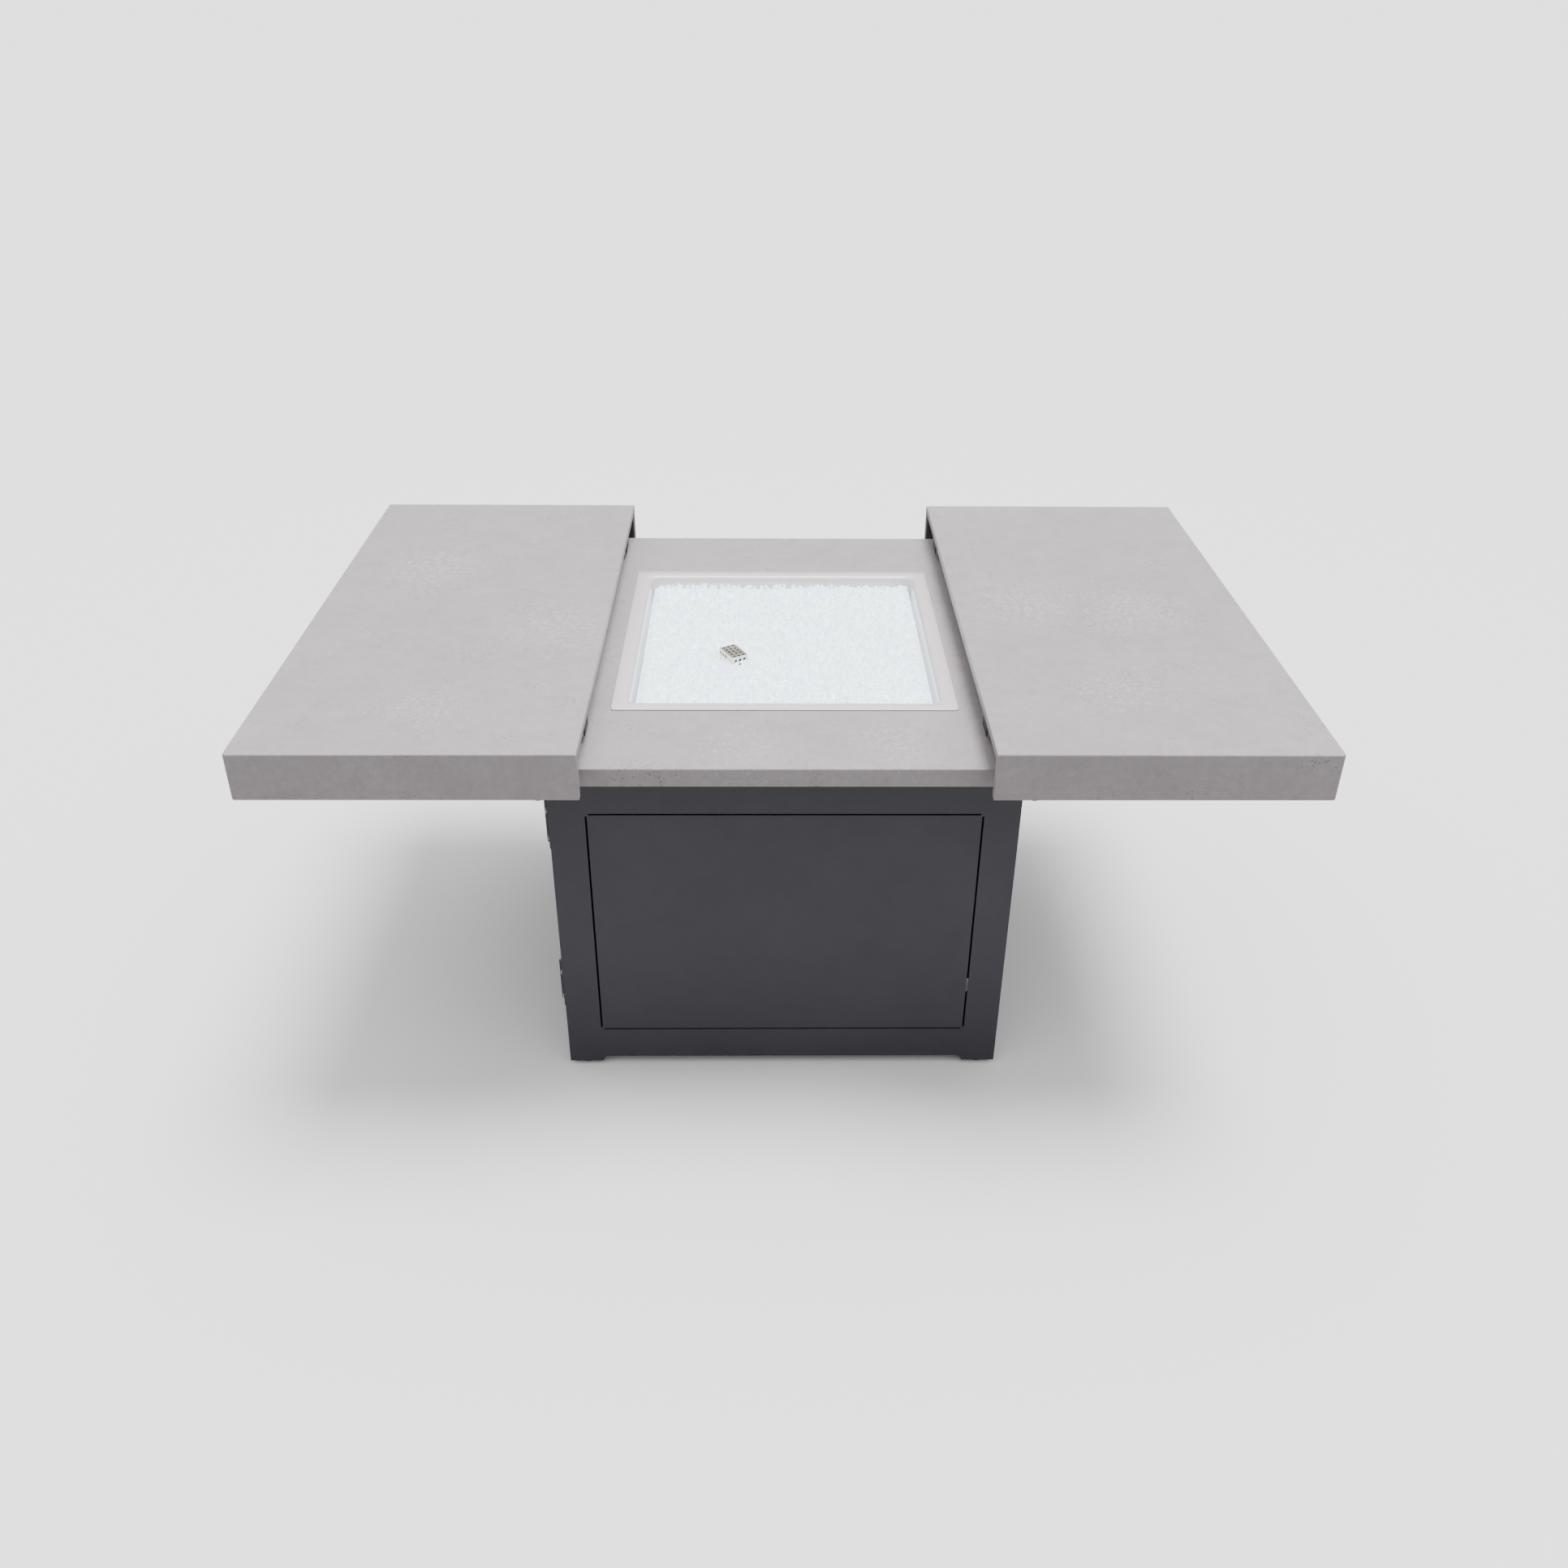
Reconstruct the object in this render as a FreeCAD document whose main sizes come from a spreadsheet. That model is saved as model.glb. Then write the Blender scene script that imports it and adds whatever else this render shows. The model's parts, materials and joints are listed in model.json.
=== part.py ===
"""Square gas fire-pit table whose top is two halves that slide apart over a burner.

Frame: the origin is on the floor under the middle of the table, +X runs towards the right half,
-Y is the front and +Z is up. All sizes are millimetres.
"""
import FreeCAD, Part
import math
import os
import re
import Sketcher

SIZES = {
    # the two top halves, cast with lips turned down on three sides
    "half_width": 457,
    "table_depth": 914,
    "top_height": 665,
    "lip_height": 70,
    "cast_thickness": 12,
    "cast_corner": 5,
    "cast_arris": 2,
    "open_gap": 548,
    "closed_gap": 1,
    # the deck under the halves
    "deck_size": 826,
    "deck_drop": 48,
    "deck_edge": 28.5,
    "deck_plate": 12,
    "deck_skirt": 14,
    "pan_cutout": 484,
    # the drop-in burner pan and what is in it
    "pan_flange": 504,
    "pan_bowl": 456,
    "pan_sheet": 2,
    "pan_corner": 6,
    "pan_drop": 55,
    "glass_drop": 8,
    "burner_ring": 260,
    "burner_bend": 30,
    "burner_tube_radius": 9.5,
    "burner_bore_radius": 8,
    "burner_port_radius": 1.5,
    "cage_across": -78,
    "cage_back": -73,
    "cage_length": 42,
    "cage_width": 27,
    "cage_top": 7,
    "cage_turn": -60,
    "cage_sheet": 0.9,
    "cage_hole_radius": 2.2,
    "cage_pitch_long": 8.4,
    "cage_pitch_short": 7.6,
    "pipe_radius": 10.5,
    "mixer_radius": 17,
    "hose_radius": 6,
    # the cabinet
    "base_width": 686,
    "base_depth": 646,
    "panel_sheet": 2.5,
    "foot_height": 8,
    "skirt_rise": 10,
    "leg_width": 52,
    "reveal_half": 290,
    "reveal_low": 74,
    "reveal_high": 486,
    "reveal_slit": 3,
    "reveal_bridge": 5,
    "vent_radius": 3.5,
    "vent_length": 60,
    "vent_pitch": 22,
    "angle_leg": 40,
    "angle_narrow": 20,
    "angle_sheet": 3,
    "rail_leg": 30,
    "shield_height": 500,
    "shield_half": 300,
    "shield_sheet": 1.5,
    "bottle_radius": 106,
    "hose_hole_radius": 20,
    "foot_across": 315.5,
    "foot_back": 295.5,
    "foot_radius": 22,
    "stud_radius": 4,
    "stud_clearance": 0.05,
    # the access door on the left side
    "door_front": -297.5,
    "door_back": 292,
    "door_top": 541,
    "door_gap": 3,
    "door_fold": 14,
    "hinge_axis_out": 4.6,
    "hinge_axis_front": -296,
    "hinge_length": 76,
    "hinge_low": 119,
    "hinge_high": 420,
    "knuckle_radius": 4.2,
    "pin_radius": 2.5,
    # the controls on the right side
    "control_front": -120,
    "control_height": 542,
    "knob_front": -150,
    "button_front": -90,
    "knob_radius": 21,
    "knob_length": 24,
    "stem_radius": 4,
    "button_radius": 7.5,
    # the sliding gear
    "rail_offset": 327,
    "rail_width": 36,
    "rail_height": 22,
    "rail_wall": 2.5,
    "rail_slot": 12,
    "bar_sheet": 3,
    "bar_width": 25,
    "trolley_near": 290,
    "trolley_far": 400,
    "roller_radius": 8,
    "roller_width": 8,
    "roller_inset": 19,
    "web_thickness": 6,
    "screw_head_radius": 4,
    "screw_head_height": 2.2,
}

doc = FreeCAD.newDocument("fire_pit_table")
sheet = doc.addObject("Spreadsheet::Sheet", "Sizes")
for row, (alias, number) in enumerate(SIZES.items(), start=1):
    sheet.set(f"A{row}", alias.replace("_", " "))
    sheet.set(f"B{row}", str(number))
    sheet.setAlias(f"B{row}", alias)
doc.recompute()

NODES = []
AXIS_TURNS = {
    "x": FreeCAD.Rotation(FreeCAD.Vector(0, 1, 0), 90),
    "y": FreeCAD.Rotation(FreeCAD.Vector(1, 0, 0), -90),
    "z": FreeCAD.Rotation(),
}
LEFT = -1
RIGHT = 1
FRONT = -1
BACK = 1

# Levels and places that follow from the sizes
SLAB_UNDER = "(top_height - cast_thickness)"
LIP_LOW = "(top_height - lip_height)"
DECK_TOP = "(top_height - deck_drop)"
DECK_UNDER = "(top_height - deck_drop - deck_plate)"
PAN_FLOOR = f"({DECK_TOP} + pan_sheet - pan_drop)"
GLASS_TOP = f"({DECK_TOP} + pan_sheet - glass_drop)"
BURNER_LEVEL = f"({PAN_FLOOR} + burner_tube_radius + 1.5)"
BOWL_INSIDE = "(pan_bowl / 2 - pan_sheet)"
PANEL_X = "(base_width / 2 - panel_sheet)"
PANEL_Y = "(base_depth / 2 - panel_sheet)"
SKIRT = "(foot_height + skirt_rise)"
RAILS_LOW = f"({DECK_UNDER} - rail_leg)"
RAIL_TOP = f"({SLAB_UNDER} - bar_sheet)"
RAIL_LOW = f"({RAIL_TOP} - rail_height)"
ROLLER_LEVEL = f"({RAIL_TOP} - rail_height / 2)"
HALF_INNER = "(open_gap / 2)"
HALF_OUTER = "(open_gap / 2 + half_width)"
BAND_OUT = f"({HALF_OUTER} - cast_thickness)"
BAND_SIDE = "(table_depth / 2 - cast_thickness)"
TRAVEL = "((open_gap - closed_gap) / 2)"
BUFFER_FAR = f"(trolley_far + 0.5 + {TRAVEL})"
HINGE_X = "(-base_width / 2 - hinge_axis_out)"


def formula(text):
    """A formula in which each named size refers to its cell of the sheet."""
    return re.sub(r"[a-z_]{2,}", lambda word: f"Sizes.{word[0]}" if word[0] in SIZES else word[0], str(text))


def value(text):
    """The number that a formula gives now."""
    return float(sheet.evalExpression(formula(text)))


def bind(item, prop, text):
    item.setExpression(prop, formula(text))


def place(item, at):
    for letter, text in zip("xyz", at):
        bind(item, f"Placement.Base.{letter}", text)


def mirrored(side, near, far):
    """Lowest and highest coordinate of a span that lies on the given side of the middle plane."""
    if side > 0:
        return near, far
    return f"-({far})", f"-({near})"


def node(item, name):
    """Hand a finished piece over as a named node."""
    item.Label = name
    NODES.append(item)
    return item


# ---- plain solids and booleans

def box(low, high):
    solid = doc.addObject("Part::Box", "Block")
    place(solid, low)
    for prop, start, end in zip(("Length", "Width", "Height"), low, high):
        bind(solid, prop, f"({end}) - ({start})")
    return solid


def cylinder(axis, start, radius, length):
    """A round bar that runs from its start along an axis."""
    solid = doc.addObject("Part::Cylinder", "Bar")
    solid.Placement.Rotation = AXIS_TURNS[axis]
    place(solid, start)
    bind(solid, "Radius", radius)
    bind(solid, "Height", length)
    return solid


def cone(axis, start, radius_start, radius_end, length):
    solid = doc.addObject("Part::Cone", "Taper")
    solid.Placement.Rotation = AXIS_TURNS[axis]
    place(solid, start)
    bind(solid, "Radius1", radius_start)
    bind(solid, "Radius2", radius_end)
    bind(solid, "Height", length)
    return solid


def group(pieces):
    """Separate solids that make one node."""
    compound = doc.addObject("Part::Compound", "Group")
    compound.Links = pieces
    return compound


def fuse(pieces):
    whole = doc.addObject("Part::MultiFuse", "Join")
    whole.Shapes = pieces
    return whole


def cut(base, tools):
    trimmed = doc.addObject("Part::Cut", "Trim")
    trimmed.Base = base
    trimmed.Tool = tools[0] if len(tools) == 1 else fuse(tools)
    return trimmed


# ---- sketches and PartDesign features

def pin_point(sketch, geometry, vertex, across, up):
    """Hold one point of a sketch at distances that come from the sheet."""
    for kind, text, axis in (("DistanceX", across, -2), ("DistanceY", up, -1)):
        distance = value(text)
        if abs(distance) < 1e-9:
            sketch.addConstraint(Sketcher.Constraint("PointOnObject", geometry, vertex, axis))
        else:
            index = sketch.addConstraint(Sketcher.Constraint(kind, -1, 1, geometry, vertex, distance))
            bind(sketch, f"Constraints[{index}]", text)


def polygon(*points):
    def draw(sketch):
        corners = [FreeCAD.Vector(value(across), value(up), 0) for across, up in points]
        first = sketch.GeometryCount
        for index, corner in enumerate(corners):
            sketch.addGeometry(Part.LineSegment(corner, corners[(index + 1) % len(corners)]))
        for index in range(len(corners)):
            following = first + (index + 1) % len(corners)
            sketch.addConstraint(Sketcher.Constraint("Coincident", first + index, 2, following, 1))
        for index, (across, up) in enumerate(points):
            pin_point(sketch, first + index, 1, across, up)
    return draw


def rectangle(low, high):
    return polygon(low, (high[0], low[1]), high, (low[0], high[1]))


def circle(centre, radius):
    def draw(sketch):
        middle = FreeCAD.Vector(value(centre[0]), value(centre[1]), 0)
        ring = sketch.addGeometry(Part.Circle(middle, FreeCAD.Vector(0, 0, 1), value(radius)))
        index = sketch.addConstraint(Sketcher.Constraint("Radius", ring, value(radius)))
        bind(sketch, f"Constraints[{index}]", radius)
        pin_point(sketch, ring, 3, *centre)
    return draw


def slot(centre, radius, length):
    """An upright slot with round ends."""
    def draw(sketch):
        across, up = value(centre[0]), value(centre[1])
        reach, half = value(radius), (value(length) / 2 - value(radius))
        arcs = []
        for start, sign in ((0, 1), (math.pi, -1)):
            ring = Part.Circle(FreeCAD.Vector(across, up + sign * half, 0), FreeCAD.Vector(0, 0, 1), reach)
            arcs.append(sketch.addGeometry(Part.ArcOfCircle(ring, start, start + math.pi)))
        sides = []
        for sign in (-1, 1):
            low = FreeCAD.Vector(across + sign * reach, up - half, 0)
            high = FreeCAD.Vector(across + sign * reach, up + half, 0)
            sides.append(sketch.addGeometry(Part.LineSegment(low, high)))
        for arc, near, far in ((arcs[0], 2, 2), (arcs[1], 1, 1)):
            sketch.addConstraint(Sketcher.Constraint("Tangent", arc, near, sides[0], far))
        for arc, near, far in ((arcs[0], 1, 2), (arcs[1], 2, 1)):
            sketch.addConstraint(Sketcher.Constraint("Tangent", arc, near, sides[1], far))
        index = sketch.addConstraint(Sketcher.Constraint("Radius", arcs[0], reach))
        bind(sketch, f"Constraints[{index}]", radius)
        for arc, sign in zip(arcs, "+-"):
            pin_point(sketch, arc, 3, centre[0], f"{centre[1]} {sign} ({length} / 2 - {radius})")
    return draw


def rounded_square(half, bend):
    """A square about the middle: four straight runs joined by quarter bends."""
    def draw(sketch):
        size, corner = value(half), value(bend)
        inner = size - corner
        starts = [(-inner, -size), (size, -inner), (inner, size), (-size, inner)]
        ends = [(inner, -size), (size, inner), (-inner, size), (-size, -inner)]
        centres = [(inner, -inner), (inner, inner), (-inner, inner), (-inner, -inner)]
        lines, arcs = [], []
        for index in range(4):
            start, end = (FreeCAD.Vector(*point[index], 0) for point in (starts, ends))
            lines.append(sketch.addGeometry(Part.LineSegment(start, end)))
            ring = Part.Circle(FreeCAD.Vector(*centres[index], 0), FreeCAD.Vector(0, 0, 1), corner)
            turn = (index - 1) * math.pi / 2
            arcs.append(sketch.addGeometry(Part.ArcOfCircle(ring, turn, turn + math.pi / 2)))
        for index in range(4):
            following = lines[(index + 1) % 4]
            sketch.addConstraint(Sketcher.Constraint("Tangent", lines[index], 2, arcs[index], 1))
            sketch.addConstraint(Sketcher.Constraint("Tangent", arcs[index], 2, following, 1))
        for arc in arcs[1:]:
            sketch.addConstraint(Sketcher.Constraint("Equal", arcs[0], arc))
        signs = (("", "-"), ("", ""), ("-", ""), ("-", "-"))
        for index, (across, up) in enumerate(signs):
            pin_point(sketch, arcs[index], 3, f"{across}({half} - {bend})", f"{up}({half} - {bend})")
        row = sketch.addConstraint(Sketcher.Constraint("Radius", arcs[0], corner))
        bind(sketch, f"Constraints[{row}]", bend)
    return draw


def new_body():
    return doc.addObject("PartDesign::Body", "Body")


def new_sketch(body, plane, profiles, offset="0"):
    """A sketch on one of the body's own origin planes, moved along the plane's normal."""
    sketch = body.newObject("Sketcher::SketchObject", "Sketch")
    origin_plane = next(item for item in body.Origin.OriginFeatures if item.Role == plane)
    sketch.AttachmentSupport = [(origin_plane, "")]
    sketch.MapMode = "FlatFace"
    bind(sketch, "AttachmentOffset.Base.z", offset)
    for draw in profiles:
        draw(sketch)
    return sketch


def pad(body, plane, profiles, length, offset="0"):
    feature = body.newObject("PartDesign::Pad", "Pad")
    feature.Profile = new_sketch(body, plane, profiles, offset)
    bind(feature, "Length", length)
    doc.recompute()
    return feature


def pocket(body, plane, profiles, length, offset="0", forward=True):
    """Cut along the plane's normal, or against it, and make sure that something was cut."""
    before = body.Shape.Volume
    feature = body.newObject("PartDesign::Pocket", "Pocket")
    feature.Profile = new_sketch(body, plane, profiles, offset)
    feature.Reversed = forward
    bind(feature, "Length", length)
    doc.recompute()
    if not body.Shape.Volume < before - 1e-3:
        raise RuntimeError(f"pocket {feature.Name} cuts nothing")
    return feature


def fillet(body, radius, wanted):
    """Round the edges that pass a test."""
    base = body.Tip
    names = [f"Edge{index}" for index, edge in enumerate(base.Shape.Edges, start=1) if wanted(edge)]
    feature = body.newObject("PartDesign::Fillet", "Fillet")
    feature.Base = (base, names)
    bind(feature, "Radius", radius)
    doc.recompute()
    return feature


def turned(profile, axis="V_Axis", plane="XZ_Plane"):
    """A body of revolution about its own sketch's axis."""
    body = new_body()
    feature = body.newObject("PartDesign::Revolution", "Revolution")
    feature.Profile = new_sketch(body, plane, [polygon(*profile)])
    feature.ReferenceAxis = (feature.Profile[0], [axis])
    feature.Angle = 360
    doc.recompute()
    return body


def upright(edge):
    low, high = edge.BoundBox.ZMin, edge.BoundBox.ZMax
    return high - low > 1 and edge.BoundBox.XLength < 1e-6 and edge.BoundBox.YLength < 1e-6


def at_level(text):
    level = value(text)
    return lambda edge: abs(edge.BoundBox.ZMin - level) < 1e-6 and abs(edge.BoundBox.ZMax - level) < 1e-6


# ---- the two top halves

def top_casting(side, name):
    body = new_body()
    low, high = mirrored(side, HALF_INNER, HALF_OUTER)
    outline = rectangle((low, "-table_depth / 2"), (high, "table_depth / 2"))
    pad(body, "XY_Plane", [outline], "lip_height", LIP_LOW)
    low, high = mirrored(side, f"{HALF_INNER} - 1", f"{HALF_OUTER} - cast_thickness")
    hollow = rectangle((low, f"-{BAND_SIDE}"), (high, BAND_SIDE))
    pocket(body, "XY_Plane", [hollow], "lip_height - cast_thickness", LIP_LOW)
    outer = side * value(HALF_OUTER)
    fillet(body, "cast_corner", lambda edge: upright(edge) and abs(edge.BoundBox.XMin - outer) < 1e-3)
    fillet(body, "cast_arris", at_level("top_height"))
    node(body, name)


def inner_frame(side, name):
    """Steel bands inside the lips, tied by two bars under the slab."""
    low_band = f"({LIP_LOW} + 5)"
    band = "angle_sheet"
    pieces = []
    near, far = mirrored(side, f"{BAND_OUT} - {band}", BAND_OUT)
    pieces.append(box((near, f"-{BAND_SIDE}", low_band), (far, BAND_SIDE, SLAB_UNDER)))
    near, far = mirrored(side, f"{HALF_INNER} + 2", BAND_OUT)
    for row in (FRONT, BACK):
        low, high = mirrored(row, f"{BAND_SIDE} - {band}", BAND_SIDE)
        pieces.append(box((near, low, low_band), (far, high, SLAB_UNDER)))
    for start in (f"({HALF_INNER} + 3)", f"({HALF_OUTER} - 81)"):
        near, far = mirrored(side, start, f"{start} + bar_width")
        pieces.append(box((near, f"-{BAND_SIDE}", RAIL_TOP), (far, BAND_SIDE, SLAB_UNDER)))
    node(fuse(pieces), name)


def slide_rails(side, name):
    """Two box-section rails with a slot below for the trolleys' webs."""
    near, far = mirrored(side, f"{HALF_INNER} + 5", f"{BAND_OUT} - angle_sheet")
    rails = []
    for row in (FRONT, BACK):
        low, high = mirrored(row, "rail_offset - rail_width / 2", "rail_offset + rail_width / 2")
        bar = box((near, low, RAIL_LOW), (far, high, RAIL_TOP))
        low, high = mirrored(row, "rail_offset - rail_width / 2 + rail_wall",
                             "rail_offset + rail_width / 2 - rail_wall")
        track = box((near, low, f"{RAIL_LOW} + rail_wall"), (far, high, f"{RAIL_TOP} - rail_wall"))
        low, high = mirrored(row, "rail_offset - rail_slot / 2", "rail_offset + rail_slot / 2")
        opening = box((near, low, RAIL_LOW), (far, high, f"{RAIL_LOW} + rail_wall"))
        rails.append(cut(bar, [track, opening]))
    node(group(rails), name)


def rail_stops(side, name):
    """Moulded end caps with a tab, and the buffers that stop each half open and closed."""
    pieces = []
    for row in (FRONT, BACK):
        near, far = mirrored(side, f"{HALF_INNER} + 3", f"{HALF_INNER} + 5")
        low, high = mirrored(row, "rail_offset - rail_width / 2", "rail_offset + rail_width / 2")
        cap = box((near, low, RAIL_LOW), (far, high, RAIL_TOP))
        low, high = mirrored(row, "rail_offset + rail_width / 2", "rail_offset + rail_width / 2 + 14")
        tab = box((near, low, f"{RAIL_TOP} - 9"), (far, high, RAIL_TOP))
        low, high = mirrored(row, "rail_offset - 10", "rail_offset + 10")
        near, far = mirrored(side, f"{HALF_INNER} + 5", "trolley_near - 0.5")
        inner = box((near, low, f"{RAIL_LOW} + 5"), (far, high, f"{RAIL_TOP} - 5"))
        pieces.append(fuse([cap, tab, inner]))
        near, far = mirrored(side, BUFFER_FAR, f"{BUFFER_FAR} + 12")
        low, high = mirrored(row, "rail_offset - rail_width / 2 + rail_wall",
                             "rail_offset + rail_width / 2 - rail_wall")
        pieces.append(box((near, low, f"{RAIL_LOW} + rail_wall"), (far, high, f"{RAIL_TOP} - rail_wall")))
    node(group(pieces), name)


def lip_bumpers(side, name):
    """Small domed buttons under the front and back lips near the inner end."""
    buttons = []
    for row in (FRONT, BACK):
        spot = (f"{side} * ({HALF_INNER} + 55)", f"{row} * (table_depth / 2 - cast_thickness / 2)")
        stem = cylinder("z", (*spot, f"{LIP_LOW} - 1"), "5.5", "1")
        dome = cone("z", (*spot, f"{LIP_LOW} - 2.6"), "3", "5.5", "1.6")
        buttons.append(fuse([stem, dome]))
    node(group(buttons), name)


def frame_screws(side, name):
    """Screw heads under the frame's bars, into the casting's inserts."""
    heads = []
    for start in (f"({HALF_INNER} + 3)", f"({HALF_OUTER} - 81)"):
        for across in (-400, -220, 0, 220, 400):
            spot = (f"{side} * ({start} + bar_width / 2)", across)
            heads.append(cylinder("z", (*spot, f"{RAIL_TOP} - screw_head_height"),
                                  "screw_head_radius", "screw_head_height"))
    node(group(heads), name)


def sliding_half(side, word):
    top_casting(side, f"{word}_top")
    inner_frame(side, f"{word}_inner_frame")
    slide_rails(side, f"{word}_slide_rails")
    rail_stops(side, f"{word}_rail_stops")
    lip_bumpers(side, f"{word}_lip_bumpers")
    frame_screws(side, f"{word}_frame_screws")


# ---- the sliding gear that stays on the deck

def roller_place(end):
    """Distance of a roller's axle from the middle plane: near the fire or near the edge."""
    return "(trolley_near + roller_inset)" if end == "inner" else "(trolley_far - roller_inset)"


def trolleys(side, name):
    webs = []
    near, far = mirrored(side, "trolley_near", "trolley_far")
    for row in (FRONT, BACK):
        low, high = mirrored(row, "rail_offset - 15", "rail_offset + 15")
        foot = box((near, low, DECK_TOP), (far, high, f"{DECK_TOP} + angle_sheet"))
        low, high = mirrored(row, "rail_offset - web_thickness / 2", "rail_offset + web_thickness / 2")
        web = box((near, low, f"{DECK_TOP} + angle_sheet"), (far, high, f"{RAIL_TOP} - 4"))
        holes = [cylinder("y", (f"{side} * {roller_place(end)}", low, ROLLER_LEVEL),
                          "pin_radius", "web_thickness") for end in ("inner", "outer")]
        webs.append(cut(fuse([foot, web]), holes))
    node(group(webs), name)


def roller_axles(name):
    pins = []
    for side in (LEFT, RIGHT):
        for end in ("inner", "outer"):
            for row in (FRONT, BACK):
                low = mirrored(row, "rail_offset - 12", "rail_offset + 12")[0]
                pins.append(cylinder("y", (f"{side} * {roller_place(end)}", low, ROLLER_LEVEL),
                                     "pin_radius", "24"))
    node(group(pins), name)


def rollers(side, end, name):
    """The front and back roller pairs that turn about one line."""
    wheels = []
    for row in (FRONT, BACK):
        for face in (f"{row} * rail_offset - web_thickness / 2 - 0.5 - roller_width",
                     f"{row} * rail_offset + web_thickness / 2 + 0.5"):
            start = (f"{side} * {roller_place(end)}", face, ROLLER_LEVEL)
            wheels.append(cut(cylinder("y", start, "roller_radius", "roller_width"),
                              [cylinder("y", start, "pin_radius + stud_clearance", "roller_width")]))
    node(group(wheels), name)


# ---- deck, burner pan and burner

def deck(name):
    body = new_body()
    edge = "deck_size / 2"
    pad(body, "XY_Plane", [rectangle((f"-{edge}", f"-{edge}"), (edge, edge))], "deck_edge",
        f"{DECK_TOP} - deck_edge")
    inside = "(deck_size / 2 - deck_skirt)"
    pocket(body, "XY_Plane", [rectangle((f"-{inside}", f"-{inside}"), (inside, inside))],
           "deck_edge - deck_plate", f"{DECK_TOP} - deck_edge")
    hole = "pan_cutout / 2"
    outer = value(edge)
    fillet(body, "cast_corner", lambda item: upright(item) and abs(abs(item.BoundBox.XMin) - outer) < 1e-3)
    fillet(body, "cast_arris", at_level(DECK_TOP))
    pocket(body, "XY_Plane", [rectangle((f"-{hole}", f"-{hole}"), (hole, hole))], "deck_plate + 2",
           f"{DECK_UNDER} - 1")
    node(body, name)


def burner_pan(name):
    body = new_body()
    pad(body, "XY_Plane", [rounded_square("pan_flange / 2", "pan_corner")], "pan_sheet", DECK_TOP)
    pad(body, "XY_Plane", [rounded_square("pan_bowl / 2", "pan_corner + pan_sheet")],
        f"{DECK_TOP} - {PAN_FLOOR} + pan_sheet", f"{PAN_FLOOR} - pan_sheet")
    pocket(body, "XY_Plane", [rounded_square(BOWL_INSIDE, "pan_corner")], "pan_drop + 1", PAN_FLOOR)
    drains = [circle((across * 180, up * 180), "4") for across in (-1, 1) for up in (-1, 1)]
    openings = [circle(("0", "0"), "pipe_radius"), circle(("cage_across", "cage_back"), "13")]
    pocket(body, "XY_Plane", drains + openings, "pan_sheet + 2", f"{PAN_FLOOR} - pan_sheet - 1")
    node(body, name)


def swept_ring(radius):
    body = new_body()
    path = new_sketch(body, "XY_Plane", [rounded_square("burner_ring / 2", "burner_bend")], BURNER_LEVEL)
    section = new_sketch(body, "YZ_Plane", [circle(("-burner_ring / 2", BURNER_LEVEL), radius)])
    sweep = body.newObject("PartDesign::AdditivePipe", "Sweep")
    sweep.Profile = section
    sweep.Spine = (path, [f"Edge{index}" for index in range(1, 9)])
    doc.recompute()
    return body


def burner(name):
    """A hollow square ring fed by a cross tube, with gas ports along its sides."""
    reach = "burner_ring / 2"
    cross = {}
    for layer, radius in (("outside", "burner_tube_radius"), ("bore", "burner_bore_radius")):
        bar = cylinder("x", (f"-{reach}", "0", BURNER_LEVEL), radius, "burner_ring")
        cross[layer] = [swept_ring(radius), bar]
    boss = cylinder("z", ("0", "0", PAN_FLOOR), "pipe_radius + 1.5", "burner_tube_radius + 1.5")
    inlet = cylinder("z", ("0", "0", PAN_FLOOR), "burner_bore_radius - 1", "burner_tube_radius + 1.5")
    ports = []
    for step in (-90, -60, -30, 30, 60, 90):
        for row in (FRONT, BACK):
            spot = (step, f"{row} * {reach}")
            ports.append(cylinder("z", (*spot, BURNER_LEVEL), "burner_port_radius", "burner_tube_radius + 2"))
            spot = (f"{row} * {reach}", step)
            ports.append(cylinder("z", (*spot, BURNER_LEVEL), "burner_port_radius", "burner_tube_radius + 2"))
    node(cut(fuse(cross["outside"] + [boss]), cross["bore"] + [inlet] + ports), name)


def cage_placement(body, level):
    body.Placement.Rotation = FreeCAD.Rotation(FreeCAD.Vector(0, 0, 1), value("cage_turn"))
    place(body, ("cage_across", "cage_back", level))


def igniter_cage(name):
    """A perforated sheet box over the electrode and the flame sensor."""
    body = new_body()
    length, width = "cage_length / 2", "cage_width / 2"
    height = f"({DECK_TOP} + cage_top - {PAN_FLOOR})"
    pad(body, "XY_Plane", [rectangle((f"-{length}", f"-{width}"), (length, width))], height)
    inner_length, inner_width = f"({length} - cage_sheet)", f"({width} - cage_sheet)"
    inside = rectangle((f"-{inner_length}", f"-{inner_width}"), (inner_length, inner_width))
    pocket(body, "XY_Plane", [inside], f"{height} - cage_sheet")
    along = [f"{step} * cage_pitch_long" for step in (-2, -1, 0, 1, 2)]
    across = [f"{step} * cage_pitch_short" for step in (-1, 0, 1)]
    rows = [f"{height} - {drop}" for drop in (6, 14, 22)]
    top_holes = [circle((x, y), "cage_hole_radius") for x in along for y in across]
    pocket(body, "XY_Plane", top_holes, "4", f"{height} - 3")
    long_holes = [circle((x, level), "cage_hole_radius") for x in along[:3] for level in rows]
    pocket(body, "XZ_Plane", long_holes, "cage_width + 4", f"-{width} - 2")
    short_holes = [circle((y, level), "cage_hole_radius") for y in across for level in rows]
    pocket(body, "YZ_Plane", short_holes, "cage_length + 4", f"-{length} - 2")
    cage_placement(body, PAN_FLOOR)
    node(body, name)


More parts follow.
